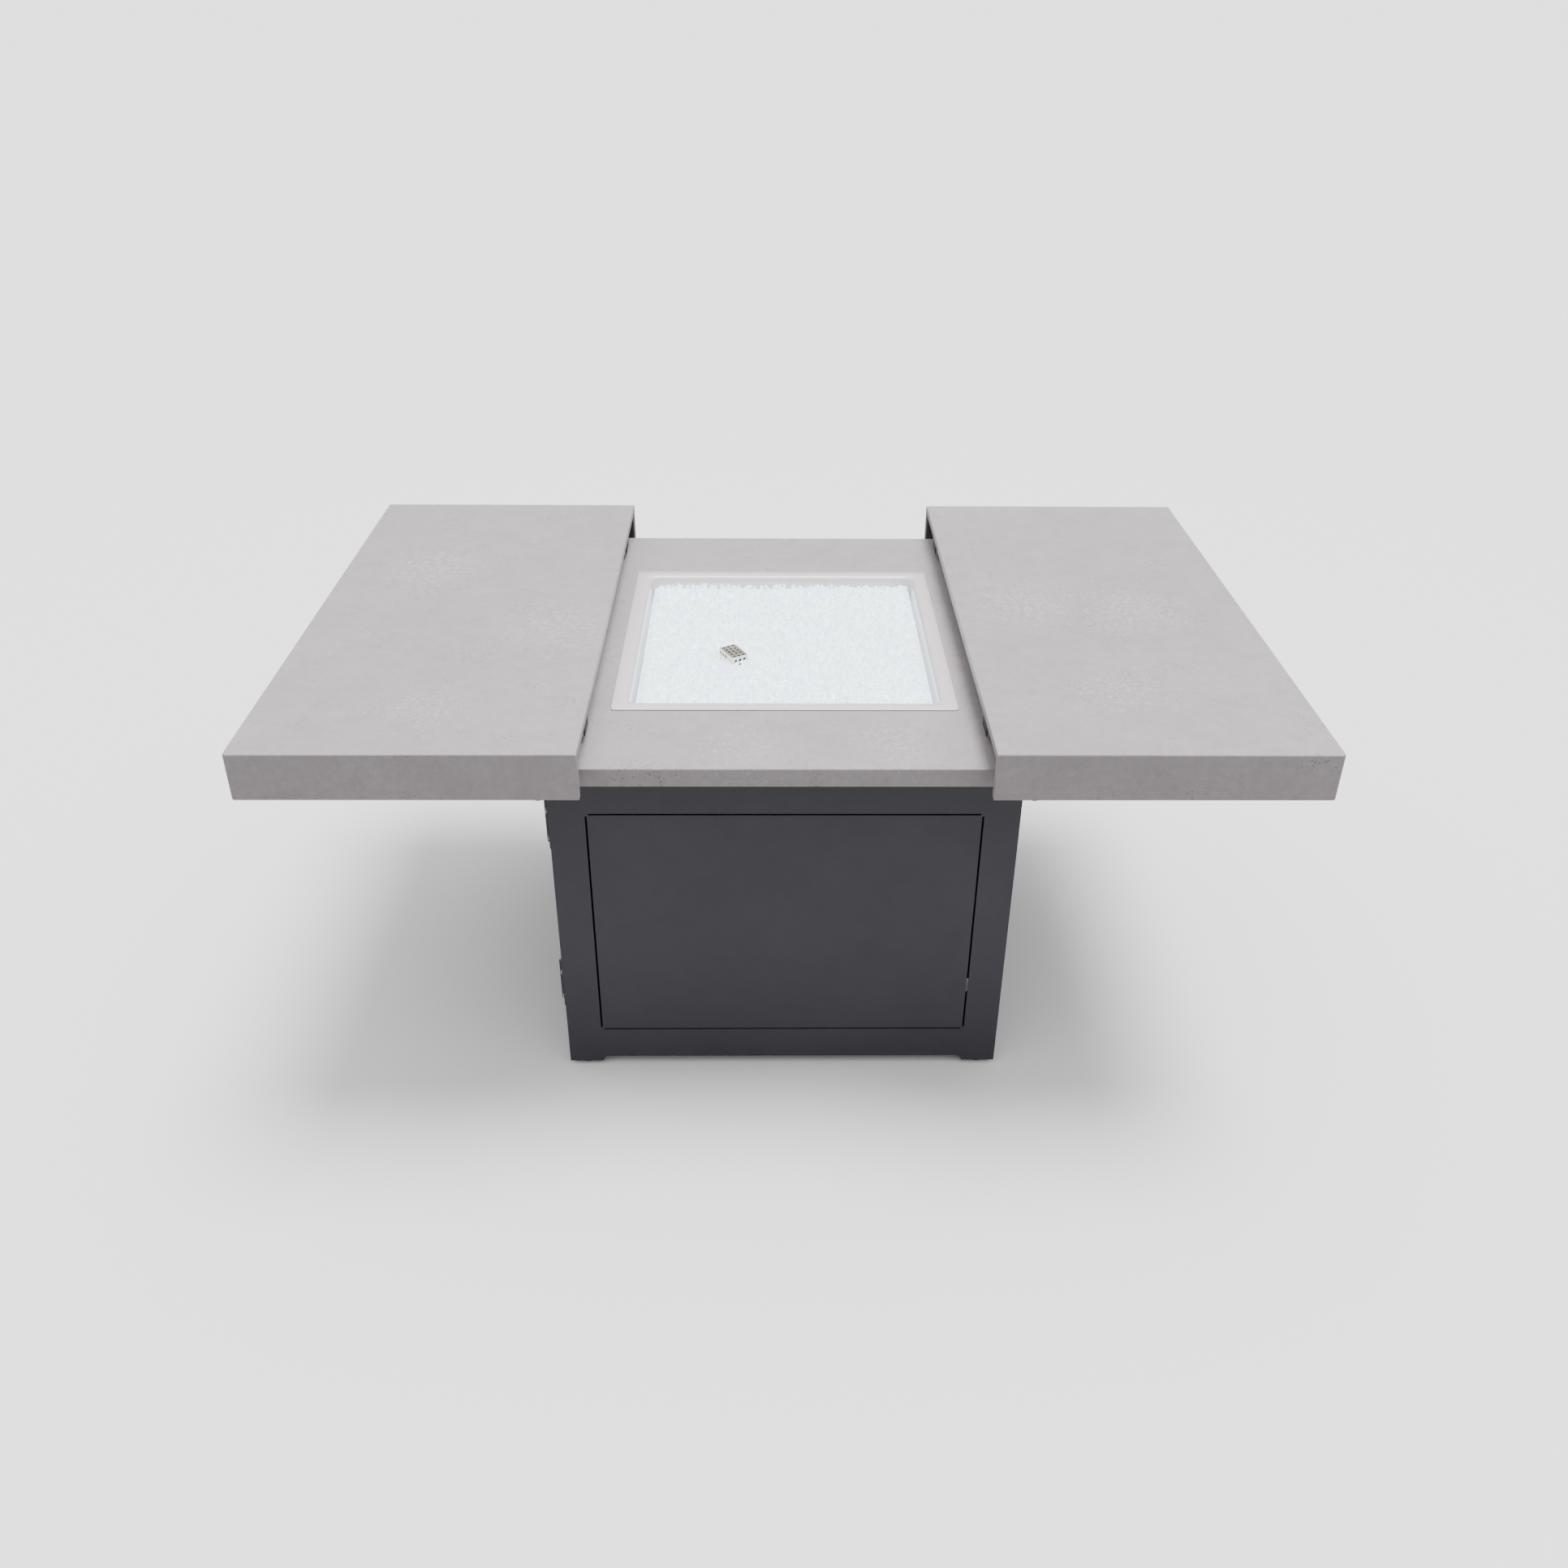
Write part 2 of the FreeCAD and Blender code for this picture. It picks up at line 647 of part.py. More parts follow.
def probe(name, offset, radius, tip):
    """A ceramic body on the pan's underside with a thin rod that reaches up into the cage."""
    height = f"{DECK_TOP} + cage_top - {PAN_FLOOR}"
    profile = (("0", "-18"), (radius, "-18"), (radius, f"{height} - 22"), (tip, f"{height} - 20"),
               (tip, f"{height} - 6"), ("0", f"{height} - 6"))
    body = turned(profile)
    turn = value("cage_turn") * math.pi / 180
    place(body, (f"cage_across + {offset * math.cos(turn):.4f}", f"cage_back + {offset * math.sin(turn):.4f}",
                 PAN_FLOOR))
    node(body, name)


def fire_glass(name):
    """The bed of crushed glass, open below for the burner and through for the cage."""
    body = new_body()
    pad(body, "XY_Plane", [rounded_square(f"({BOWL_INSIDE} - 1.5)", "pan_corner")],
        f"{GLASS_TOP} - {PAN_FLOOR}", PAN_FLOOR)
    outside, inside = "(burner_ring / 2 + 12)", "(burner_ring / 2 - 12)"
    trench = "2 * burner_tube_radius + 4"
    ring = [rounded_square(outside, "burner_bend + 12"), rounded_square(inside, "burner_bend - 12")]
    pocket(body, "XY_Plane", ring, trench, PAN_FLOOR)
    pocket(body, "XY_Plane", [rectangle((f"-{inside} - 1", "-13"), (f"{inside} + 1", "13"))], trench, PAN_FLOOR)
    turn = math.radians(value("cage_turn"))
    half_length, half_width = value("cage_length / 2 + 1"), value("cage_width / 2 + 1")
    corners = []
    for side, row in ((-1, -1), (1, -1), (1, 1), (-1, 1)):
        along, up = side * half_length, row * half_width
        across = along * math.cos(turn) - up * math.sin(turn)
        back = along * math.sin(turn) + up * math.cos(turn)
        corners.append((f"cage_across + {across:.4f}", f"cage_back + {back:.4f}"))
    pocket(body, "XY_Plane", [polygon(*corners)], f"{GLASS_TOP} - {PAN_FLOOR} + 2", f"{PAN_FLOOR} - 1")
    node(body, name)


def burner_inlet(name):
    """The threaded nipple through the pan's floor and the hexagon nut that clamps it."""
    nipple = cylinder("z", ("0", "0", f"{PAN_FLOOR} - 29"), "pipe_radius", "29")
    bore = cylinder("z", ("0", "0", f"{PAN_FLOOR} - 29"), "burner_bore_radius - 1", "29")
    locknut = doc.addObject("Part::Prism", "Hexagon")
    locknut.Polygon = 6
    locknut.Circumradius = 18
    locknut.Height = 9
    place(locknut, ("0", "0", f"{PAN_FLOOR} - pan_sheet - 9"))
    hole = cylinder("z", ("0", "0", f"{PAN_FLOOR} - 12"), "pipe_radius", "12")
    node(group([cut(nipple, [bore]), cut(locknut, [hole])]), name)


MIXER_TOP = f"({PAN_FLOOR} - 29)"
MIXER_PORT = f"({PAN_FLOOR} - 44)"


def air_mixer(name):
    """The block where gas from the hose draws in air through two windows."""
    body = cylinder("z", ("0", "0", f"{MIXER_TOP} - 28"), "mixer_radius", "28")
    port = cylinder("x", ("0", "0", MIXER_PORT), "hose_radius + 3", "36")
    bore = cylinder("z", ("0", "0", f"{MIXER_TOP} - 24"), "burner_bore_radius", "24")
    jet = cylinder("x", ("0", "0", MIXER_PORT), "3", "36")
    windows = cylinder("y", ("0", "-mixer_radius", f"{MIXER_TOP} - 9"), "4", "2 * mixer_radius")
    node(cut(fuse([body, port]), [bore, jet, windows]), name)


# ---- gas valve, hose and controls on the right side

VALVE_LEFT = "(base_width / 2 - 61)"


def gas_valve(name):
    block = box((VALVE_LEFT, "knob_front - 17", "control_height - 17"),
                (f"{VALVE_LEFT} + 42", "knob_front + 17", "control_height + 17"))
    neck = cylinder("x", (f"{VALVE_LEFT} + 42", "knob_front", "control_height"), "9", "16.5")
    outlet = cylinder("x", (f"{VALVE_LEFT} - 16", "knob_front", "control_height"), "hose_radius + 2", "16")
    bore = cylinder("x", (f"{VALVE_LEFT} + 14", "knob_front", "control_height"),
                    "stem_radius + stud_clearance", "46")
    node(cut(fuse([block, neck, outlet]), [bore]), name)


def gas_inlet(name):
    """The flare fitting under the valve that a gas supply hose screws onto."""
    spot = (f"{VALVE_LEFT} + 32", "knob_front")
    collar = cylinder("z", (*spot, "control_height - 32"), "10", "15")
    thread = cylinder("z", (*spot, "control_height - 54"), "8", "22")
    bore = cylinder("z", (*spot, "control_height - 54"), "3", "37")
    node(cut(fuse([collar, thread]), [bore]), name)


def hose_route():
    """Points of the hose from the valve's outlet to the mixer's port."""
    start = FreeCAD.Vector(value(f"{VALVE_LEFT} - 16"), value("knob_front"), value("control_height"))
    end = FreeCAD.Vector(36, 0, value(MIXER_PORT))
    between = [(0.83, 1, 1), (0.64, 0.82, 0.85), (0.50, 0.50, 0.50), (0.36, 0.14, 0.15), (0.19, 0, 0)]
    reach = start - end
    points = [start]
    for across, back, up in between:
        points.append(end + FreeCAD.Vector(reach.x * across, reach.y * back, reach.z * up))
    return points + [end]


def hose(name):
    """Straight runs joined by tangent arcs, swept with the hose's round section."""
    points = hose_route()
    edges = []
    last = points[0]
    radii = []
    for before, here, after in zip(points, points[1:], points[2:]):
        into = (here - before).normalize()
        out = (after - here).normalize()
        half_turn = into.getAngle(out) / 2
        shorter = min((here - before).Length, (after - here).Length)
        setback = 0.45 * shorter
        radii.append(setback / math.tan(half_turn))
        middle = (out - into).normalize()
        centre = here + middle * math.hypot(setback, radii[-1])
        start, end = here - into * setback, here + out * setback
        edges.append(Part.LineSegment(last, start).toShape())
        edges.append(Part.Arc(start, centre - middle * radii[-1], end).toShape())
        last = end
    edges.append(Part.LineSegment(last, points[-1]).toShape())
    spine = Part.Wire(edges)
    ring = Part.makeCircle(value("hose_radius"), points[0], (points[1] - points[0]).normalize())
    swept = spine.makePipeShell([Part.Wire([ring])], True, False)
    print("hose radii", [round(radius, 1) for radius in radii], "length", round(spine.Length, 1))
    print("hose volume ratio", round(swept.Volume / (math.pi * value("hose_radius") ** 2 * spine.Length), 4))
    tube = doc.addObject("Part::Feature", "Tube")
    tube.Shape = swept
    node(tube, name)


def control_plate(name):
    body = new_body()
    outline = rectangle(("control_front - 70", "control_height - 30"), ("control_front + 70", "control_height + 30"))
    holes = [circle(("knob_front", "control_height"), "stem_radius + 2"),
             circle(("button_front", "control_height"), "button_radius + 1.5")]
    pad(body, "YZ_Plane", [outline] + holes, "2", "base_width / 2")
    node(body, name)


def igniter_barrel(name):
    """The threaded barrel and bezel that the push button runs in."""
    face = "(base_width / 2 + 2)"
    spot = ("button_front", "control_height")
    bezel = cylinder("x", (face, *spot), "button_radius + 5", "3")
    barrel = cylinder("x", (f"{face} - 47", *spot), "button_radius + 1.5", "47")
    bore = cylinder("x", (f"{face} - 16", *spot), "button_radius + stud_clearance", "19")
    node(cut(fuse([bezel, barrel]), [bore]), name)


def igniter_button(name):
    face = "(base_width / 2 + 2)"
    profile = ((f"{face} - 9", "0"), (f"{face} - 9", "button_radius"), (f"{face} + 8", "button_radius"),
               (f"{face} + 9", "button_radius - 1"), (f"{face} + 9", "0"))
    body = turned(profile, "H_Axis", "XY_Plane")
    place(body, ("0", "button_front", "control_height"))
    node(body, name)


def valve_knob(name):
    """A round knob with finger flutes, bored for the stem."""
    face = "(base_width / 2 + 3)"
    profile = ((face, "stem_radius"), (face, "knob_radius"), (f"{face} + 6", "knob_radius"),
               (f"{face} + 8", "knob_radius - 2"), (f"{face} + knob_length - 2", "knob_radius - 3.5"),
               (f"{face} + knob_length", "knob_radius - 5.5"), (f"{face} + knob_length", "0"),
               (f"{face} + 15", "0"), (f"{face} + 15", "stem_radius"))
    body = turned(profile, "H_Axis", "XY_Plane")
    flute = pocket(body, "YZ_Plane", [circle(("0", "knob_radius + 0.5"), "3.2")], "knob_length - 8",
                   f"{face} + 8")
    around = body.newObject("PartDesign::PolarPattern", "Flutes")
    around.Originals = [flute]
    axis = next(item for item in body.Origin.OriginFeatures if item.Role == "X_Axis")
    around.Axis = (axis, [""])
    around.Angle = 360
    around.Occurrences = 12
    body.Tip = around
    doc.recompute()
    place(body, ("0", "knob_front", "control_height"))
    node(body, name)


def valve_stem(name):
    start = (f"{VALVE_LEFT} + 15", "knob_front", "control_height")
    node(cylinder("x", start, "stem_radius", "base_width / 2 + 18 - (base_width / 2 - 46)"), name)


# ---- cabinet sheets

def legged(half, top=DECK_UNDER):
    """Outline of a cabinet side: a sheet with a leg at each end that reaches below the rest."""
    leg = f"({half} - leg_width)"
    return polygon((f"-{half}", "foot_height"), (f"-{leg}", "foot_height"), (f"-{leg} + 7", SKIRT),
                   (f"{leg} - 7", SKIRT), (leg, "foot_height"), (half, "foot_height"), (half, top),
                   (f"-{half}", top))


def reveal_slits(half):
    """Four cut lines of a framed panel, kept apart at the corners by small bridges."""
    slit, gap = "reveal_slit", "reveal_bridge"
    slits = []
    for level in ("reveal_low", "(reveal_high - reveal_slit)"):
        slits.append(rectangle((f"-{half} + {gap}", level), (f"{half} - {gap}", f"{level} + {slit}")))
    for start in (f"-{half}", f"({half} - {slit})"):
        slits.append(rectangle((start, f"reveal_low + {gap}"), (f"{start} + {slit}", f"reveal_high - {gap}")))
    return slits


def vent_row(count, level):
    middle = (count - 1) / 2
    return [slot((f"{index - middle} * vent_pitch", level), "vent_radius", "vent_length")
            for index in range(count)]


def front_panel(name):
    body = new_body()
    pad(body, "XZ_Plane", [legged("(base_width / 2)")], "panel_sheet", PANEL_Y)
    pocket(body, "XZ_Plane", reveal_slits("reveal_half"), "panel_sheet + 2", f"{PANEL_Y} - 1")
    node(body, name)


def back_panel(name):
    body = new_body()
    pad(body, "XZ_Plane", [legged("(base_width / 2)")], "panel_sheet", "-base_depth / 2")
    cuts = reveal_slits("reveal_half") + vent_row(11, "reveal_low + 60") + vent_row(11, "reveal_high - 60")
    pocket(body, "XZ_Plane", cuts, "panel_sheet + 2", "-base_depth / 2 - 1")
    node(body, name)


def right_panel(name):
    body = new_body()
    pad(body, "YZ_Plane", [legged(PANEL_Y)], "panel_sheet", PANEL_X)
    window = rectangle(("control_front - 52", "control_height - 20"), ("control_front + 52", "control_height + 20"))
    cuts = reveal_slits(f"({PANEL_Y} - 50)") + vent_row(9, "reveal_low + 60") + [window]
    pocket(body, "YZ_Plane", cuts, "panel_sheet + 2", f"{PANEL_X} - 1")
    node(body, name)


def left_surround(name):
    """The left side: a sheet with the door's opening."""
    body = new_body()
    pad(body, "YZ_Plane", [legged(PANEL_Y)], "panel_sheet", "-base_width / 2")
    opening = rectangle(("door_front", "reveal_low"), ("door_back", "door_top"))
    pocket(body, "YZ_Plane", [opening], "panel_sheet + 2", "-base_width / 2 - 1")
    node(body, name)


def corner_posts(name):
    """Unequal angles behind the sheets at the four corners."""
    posts = []
    for side in (LEFT, RIGHT):
        for row in (FRONT, BACK):
            across = mirrored(side, f"{PANEL_X} - angle_leg", PANEL_X)
            back = mirrored(row, f"{PANEL_Y} - angle_sheet", PANEL_Y)
            wide = box((across[0], back[0], "foot_height"), (across[1], back[1], RAILS_LOW))
            across = mirrored(side, f"{PANEL_X} - angle_sheet", PANEL_X)
            back = mirrored(row, f"{PANEL_Y} - angle_narrow", PANEL_Y)
            narrow = box((across[0], back[0], "foot_height"), (across[1], back[1], RAILS_LOW))
            posts.append(fuse([wide, narrow]))
    node(group(posts), name)


def foot_plates(name):
    """Plates welded into the posts' lower ends, each with a hole for a levelling foot."""
    plates = []
    for side in (LEFT, RIGHT):
        for row in (FRONT, BACK):
            across = mirrored(side, "foot_across - foot_radius", "foot_across + foot_radius")
            back = mirrored(row, "foot_back - foot_radius", "foot_back + foot_radius")
            plate = box((across[0], back[0], "foot_height"), (across[1], back[1], "foot_height + 4"))
            hole = cylinder("z", (f"{side} * foot_across", f"{row} * foot_back", "foot_height"),
                            "stud_radius + stud_clearance", "4")
            plates.append(cut(plate, [hole]))
    node(group(plates), name)


def levelling_foot(side, row, name):
    """A round pad on a threaded stud."""
    profile = (("0", "0"), ("foot_radius - 2", "0"), ("foot_radius", "2"), ("foot_radius", "foot_height - 2"),
               ("foot_radius - 3", "foot_height - 0.4"), ("stud_radius", "foot_height - 0.4"),
               ("stud_radius", "foot_height + 30"), ("0", "foot_height + 30"))
    body = turned(profile)
    place(body, (f"{side} * foot_across", f"{row} * foot_back", "0"))
    node(body, name)


def deck_rails(direction, name):
    """Two angles along the cabinet's top edge that carry the deck."""
    rails = []
    for sign in (-1, 1):
        if direction == "long":
            reach = PANEL_X
            upright_leg = mirrored(sign, f"{PANEL_Y} - angle_sheet", PANEL_Y)
            flat_leg = mirrored(sign, f"{PANEL_Y} - rail_leg", PANEL_Y)
        else:
            reach = f"({PANEL_Y} - rail_leg)"
            upright_leg = mirrored(sign, f"{PANEL_X} - angle_sheet", PANEL_X)
            flat_leg = mirrored(sign, f"{PANEL_X} - rail_leg", PANEL_X)
        legs = []
        for span, low in ((upright_leg, RAILS_LOW), (flat_leg, f"{DECK_UNDER} - angle_sheet")):
            if direction == "long":
                legs.append(box((f"-{reach}", span[0], low), (reach, span[1], DECK_UNDER)))
            else:
                legs.append(box((span[0], f"-{reach}", low), (span[1], reach, DECK_UNDER)))
        rails.append(fuse(legs))
    node(group(rails), name)


def base_tray(name):
    """The floor of the cabinet, cut away at the corners, with vents and a hole for the supply hose."""
    body = new_body()
    across, back = PANEL_X, PANEL_Y
    nip_x, nip_y = f"({PANEL_X} - 50)", f"({PANEL_Y} - 50)"
    outline = [(f"-{nip_x}", f"-{back}"), (nip_x, f"-{back}"), (nip_x, f"-{nip_y}"), (across, f"-{nip_y}"),
               (across, nip_y), (nip_x, nip_y), (nip_x, back), (f"-{nip_x}", back), (f"-{nip_x}", nip_y),
               (f"-{across}", nip_y), (f"-{across}", f"-{nip_y}"), (f"-{nip_x}", f"-{nip_y}")]
    vents = [slot((across_at, side_at), "vent_radius", "vent_length") for side_at in (-230, 230)
             for across_at in (-110, -66, -22, 22, 66, 110)]
    hose_hole = circle((f"{VALVE_LEFT} + 32", "knob_front"), "hose_hole_radius")
    pad(body, "XY_Plane", [polygon(*outline), hose_hole] + vents, "2", SKIRT)
    node(body, name)


def bottle_guides(name):
    """Four upright tabs that keep a gas bottle's foot ring in place."""
    tabs = []
    floor = f"({SKIRT} + 2)"
    for sign in (-1, 1):
        near, far = mirrored(sign, "bottle_radius", "bottle_radius + 3")
        tabs.append(box((near, "-15", floor), (far, "15", f"{floor} + 25")))
        tabs.append(box(("-15", near, floor), ("15", far, f"{floor} + 25")))
    node(group(tabs), name)


def heat_shield(name):
    """A sheet under the burner, turned up at the front and back to the deck's rails."""
    edge, sheet_in = PANEL_Y, f"({PANEL_Y} - shield_sheet)"
    body = new_body()
    section = polygon((f"-{edge}", "shield_height"), (edge, "shield_height"), (edge, RAILS_LOW),
                      (sheet_in, RAILS_LOW), (sheet_in, "shield_height + shield_sheet"),
                      (f"-{sheet_in}", "shield_height + shield_sheet"), (f"-{sheet_in}", RAILS_LOW),
                      (f"-{edge}", RAILS_LOW))
    pad(body, "YZ_Plane", [section], "2 * shield_half", "-shield_half")
    node(body, name)


# ---- the access door

HINGE_LEVELS = ("hinge_low", "hinge_high")


def knuckle(level, start, length):
    """One hinge knuckle with small chamfers at its ends, bored for the pin."""
    spot = (HINGE_X, "hinge_axis_front")
    low = f"({level} + {start})"
    taper = "1"
    pieces = [cone("z", (*spot, low), f"knuckle_radius - {taper}", "knuckle_radius", taper),
              cylinder("z", (*spot, f"{low} + {taper}"), "knuckle_radius", f"{length} - 2 * {taper}"),
              cone("z", (*spot, f"{low} + {length} - {taper}"), "knuckle_radius",
                   f"knuckle_radius - {taper}", taper)]
    return pieces


def hinge_leaf(level, outward, sections, bore):
    """A leaf on the outer face, with arms that reach its knuckles."""
    face = "(-base_width / 2)"
    thick = "2.5"
    far, clear = f"hinge_axis_front + {outward} * 20", f"hinge_axis_front + {outward} * 5.4"
    low, high = (clear, far) if outward > 0 else (far, clear)
    pieces = [box((f"{face} - {thick}", low, level), (face, high, f"{level} + hinge_length"))]
    for start, length in sections:
        low, high = (("hinge_axis_front", clear) if outward > 0 else (clear, "hinge_axis_front"))
        pieces.append(box((f"{face} - {thick} - 1.2", low, f"{level} + {start} + 1"),
                          (f"{face} - 1.2", high, f"{level} + {start} + {length} - 1")))
        pieces.extend(knuckle(level, start, length))
    hole = cylinder("z", (HINGE_X, "hinge_axis_front", f"{level} - 1"), bore, "hinge_length + 2")
    return cut(fuse(pieces), [hole])


def hinge_leaves():
    fixed = [hinge_leaf(level, -1, (("0", "25"), ("51", "25")), "pin_radius") for level in HINGE_LEVELS]
    node(group(fixed), "fixed_hinge_leaves")
    moving = [hinge_leaf(level, 1, (("25.5", "25"),), "pin_radius + stud_clearance") for level in HINGE_LEVELS]
    node(group(moving), "moving_hinge_leaves")
    pins = [cylinder("z", (HINGE_X, "hinge_axis_front", f"{level} - 0.5"), "pin_radius", "hinge_length + 1")
            for level in HINGE_LEVELS]
    node(group(pins), "hinge_pins")


def access_door(name):
    """A sheet with its four edges folded inwards."""
    body = new_body()
    front, back = "(door_front + door_gap)", "(door_back - door_gap)"
    low, high = "(reveal_low + door_gap)", "(door_top - door_gap)"
    depth = "panel_sheet + door_fold"
    pad(body, "YZ_Plane", [rectangle((front, low), (back, high))], depth, "-base_width / 2")
    fold = "2"
    inside = rectangle((f"{front} + {fold}", f"{low} + {fold}"), (f"{back} - {fold}", f"{high} - {fold}"))
    pocket(body, "YZ_Plane", [inside], "door_fold + 1", f"-{PANEL_X}")
    node(body, name)


def door_pull(name):
    """A small turned knob near the door's free edge."""
    profile = (("-base_width / 2", "0"), ("-base_width / 2", "7"), ("-base_width / 2 - 3", "5"),
               ("-base_width / 2 - 11", "5"), ("-base_width / 2 - 14", "10"), ("-base_width / 2 - 19", "10"),
               ("-base_width / 2 - 21", "8"), ("-base_width / 2 - 21", "0"))
    body = turned(profile, "H_Axis", "XY_Plane")
    place(body, ("0", "door_back - 32", "(reveal_low + door_top) / 2"))
    node(body, name)


def door_catch(name):
    """A magnet on a bracket behind the door's free edge."""
    middle = "((reveal_low + door_top) / 2)"
    fold_end = f"(-{PANEL_X} + door_fold)"
    bracket = box((f"-{PANEL_X}", "door_back + 2", f"{middle} - 20"),
                  (f"{fold_end} + 14", "door_back + 5", f"{middle} + 20"))
    magnet = box((f"{fold_end} + 0.4", "door_back - 26", f"{middle} - 20"),
                 (f"{fold_end} + 14", "door_back + 2", f"{middle} + 20"))
    node(fuse([bracket, magnet]), name)


# ---- screw heads

def head(axis, spot):
    return cylinder(axis, spot, "screw_head_radius", "screw_head_height")


def cabinet_screws(name):
    heads = []
    for side in (LEFT, RIGHT):
        for row in (FRONT, BACK):
            for across in ("(trolley_near + 8)", "(trolley_far - 8)"):
                for sideways in (-9.5, 9.5):
                    heads.append(head("z", (f"{side} * {across}", f"{row} * rail_offset + {sideways}",
                                            f"{DECK_TOP} + angle_sheet")))
    for back in (-62, 62):
        for up in (-22, 22):
            heads.append(head("x", ("base_width / 2 + 2", f"control_front + {back}", f"control_height + {up}")))
    for level in HINGE_LEVELS:
        for up in (14, 62):
            heads.append(head("x", ("-base_width / 2 - 2.5 - screw_head_height", "hinge_axis_front - 13",
                                    f"{level} + {up}")))
    node(group(heads), name)


def door_screws(name):
    heads = [head("x", ("-base_width / 2 - 2.5 - screw_head_height", "hinge_axis_front + 13", f"{level} + {up}"))
             for level in HINGE_LEVELS for up in (14, 62)]
    node(group(heads), name)


def build():
    for side, word in ((LEFT, "left"), (RIGHT, "right")):
        sliding_half(side, word)
        trolleys(side, f"{word}_trolleys")
        for end in ("inner", "outer"):
            rollers(side, end, f"{word}_{end}_rollers")
        for row, place_word in ((FRONT, "front"), (BACK, "back")):
            levelling_foot(side, row, f"{place_word}_{word}_foot")
    roller_axles("roller_axles")
    deck("deck")
    burner_pan("burner_pan")
    burner("burner_tube")
    burner_inlet("burner_inlet")
    air_mixer("air_mixer")
    igniter_cage("igniter_cage")
    probe("spark_electrode", -8, "3.5", "1")
    probe("flame_sensor", 8, "2.5", "1.5")
    fire_glass("fire_glass")
    gas_valve("gas_valve")
    gas_inlet("gas_inlet")
    hose("gas_hose")
    control_plate("control_plate")
    igniter_barrel("igniter_barrel")
    igniter_button("igniter_button")
    valve_knob("valve_knob")
    valve_stem("valve_stem")
    front_panel("front_panel")
    back_panel("back_panel")
    right_panel("right_panel")
    left_surround("left_surround")
    corner_posts("corner_posts")
    foot_plates("foot_plates")
    deck_rails("long", "long_deck_rails")
    deck_rails("short", "short_deck_rails")
    base_tray("base_tray")
    bottle_guides("bottle_guides")
    heat_shield("heat_shield")
    hinge_leaves()
    access_door("access_door")
    door_pull("door_pull")
    door_catch("door_catch")
    cabinet_screws("cabinet_screws")
    door_screws("door_screws")


def check_and_export():
    doc.recompute()
    for item in doc.Objects:
        if "Invalid" in item.State or "Error" in item.State:
            raise RuntimeError(f"{item.Name} ({item.Label}) is {item.State}")
    for item in NODES:
        if item.Shape.isNull() or not item.Shape.isValid() or not item.Shape.Solids:
            raise RuntimeError(f"{item.Label} has no sound shape")
    os.makedirs("parts", exist_ok=True)
    for item in NODES:
        item.Shape.exportStep(f"parts/{item.Label}.step")
    print(len(NODES), "nodes")


build()
check_and_export()
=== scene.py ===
import json
import math
import random
import bmesh
import bpy
from mathutils import Euler, Matrix, Vector


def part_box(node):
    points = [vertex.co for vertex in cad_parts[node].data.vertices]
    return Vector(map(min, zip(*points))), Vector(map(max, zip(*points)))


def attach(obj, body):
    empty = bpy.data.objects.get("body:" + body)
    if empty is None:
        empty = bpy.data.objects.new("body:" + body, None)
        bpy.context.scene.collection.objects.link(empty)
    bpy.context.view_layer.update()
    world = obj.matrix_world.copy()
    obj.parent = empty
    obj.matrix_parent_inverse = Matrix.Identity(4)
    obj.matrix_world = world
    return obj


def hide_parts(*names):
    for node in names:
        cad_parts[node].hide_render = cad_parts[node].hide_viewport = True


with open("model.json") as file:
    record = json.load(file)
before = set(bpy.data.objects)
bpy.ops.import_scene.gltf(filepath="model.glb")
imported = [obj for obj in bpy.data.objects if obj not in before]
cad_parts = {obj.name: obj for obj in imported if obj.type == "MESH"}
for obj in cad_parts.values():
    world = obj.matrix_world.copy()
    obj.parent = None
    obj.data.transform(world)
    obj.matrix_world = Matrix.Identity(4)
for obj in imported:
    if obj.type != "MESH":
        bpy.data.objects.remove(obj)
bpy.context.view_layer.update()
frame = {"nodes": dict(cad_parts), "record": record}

bl_info = {
    "name": "Fire Pit Table",
    "version": (1, 0, 0),
    "blender": (4, 5, 0),
    "location": "View3D > Sidebar > Fire Pit",
    "description": "A gas fire pit table whose cast top slides apart over a burner pan of crushed glass",
    "category": "Add Mesh",
}

BODY_OF = {node: body for body, nodes in frame["record"]["behaviour"]["bodies"].items() for node in nodes}
SLOT_OF = {entry["node"]: entry["material_slot"] for entry in frame["record"]["subparts"]}
HALVES = ("left", "right")
# how far the igniter cage is turned, and half its length and width in metres
CAGE_TURN = math.radians(-60)
CAGE_HALF = (0.021, 0.0135)
# height of the dark lining inside the cage, painted shade behind its holes, and its gap behind the sheet, in
# metres
LINING_HEIGHT = 0.016
LINING_GAP = 0.0013
# length of the hose's plain ends and distance between its rings, in metres
HOSE_END = 0.016
HOSE_STEP = 0.001
# each turning point of the hose, as shares of its reach across, back and up from the burner's end
HOSE_ROUTE = ((0.83, 1, 1), (0.64, 0.82, 0.85), (0.50, 0.50, 0.50), (0.36, 0.14, 0.15), (0.19, 0, 0))


# ---- properties

class FireTableSizes(bpy.types.PropertyGroup):
    """Sizes that the pieces are finished with."""
    cast_edge: bpy.props.FloatProperty(
        name="Cast edge", description="Width of the softened edges under the cast lips",
        default=0.0012, unit="LENGTH")
    sheet_edge: bpy.props.FloatProperty(
        name="Sheet edge", description="Width of the softened edges of the coated sheets",
        default=0.0005, unit="LENGTH")
    pan_bend: bpy.props.FloatProperty(
        name="Pan bend", description="Radius of the rolled bend between the pan's flange and its wall",
        default=0.009, unit="LENGTH")
    chip_size: bpy.props.FloatProperty(
        name="Chip size", description="Typical size of one chip of crushed glass",
        default=0.0105, unit="LENGTH")
    chip_layers: bpy.props.IntProperty(
        name="Chip layers", description="Layers of loose chips over the bed of glass", default=3)
    seed: bpy.props.IntProperty(
        name="Seed", description="Start of the random draws for the glass", default=7)


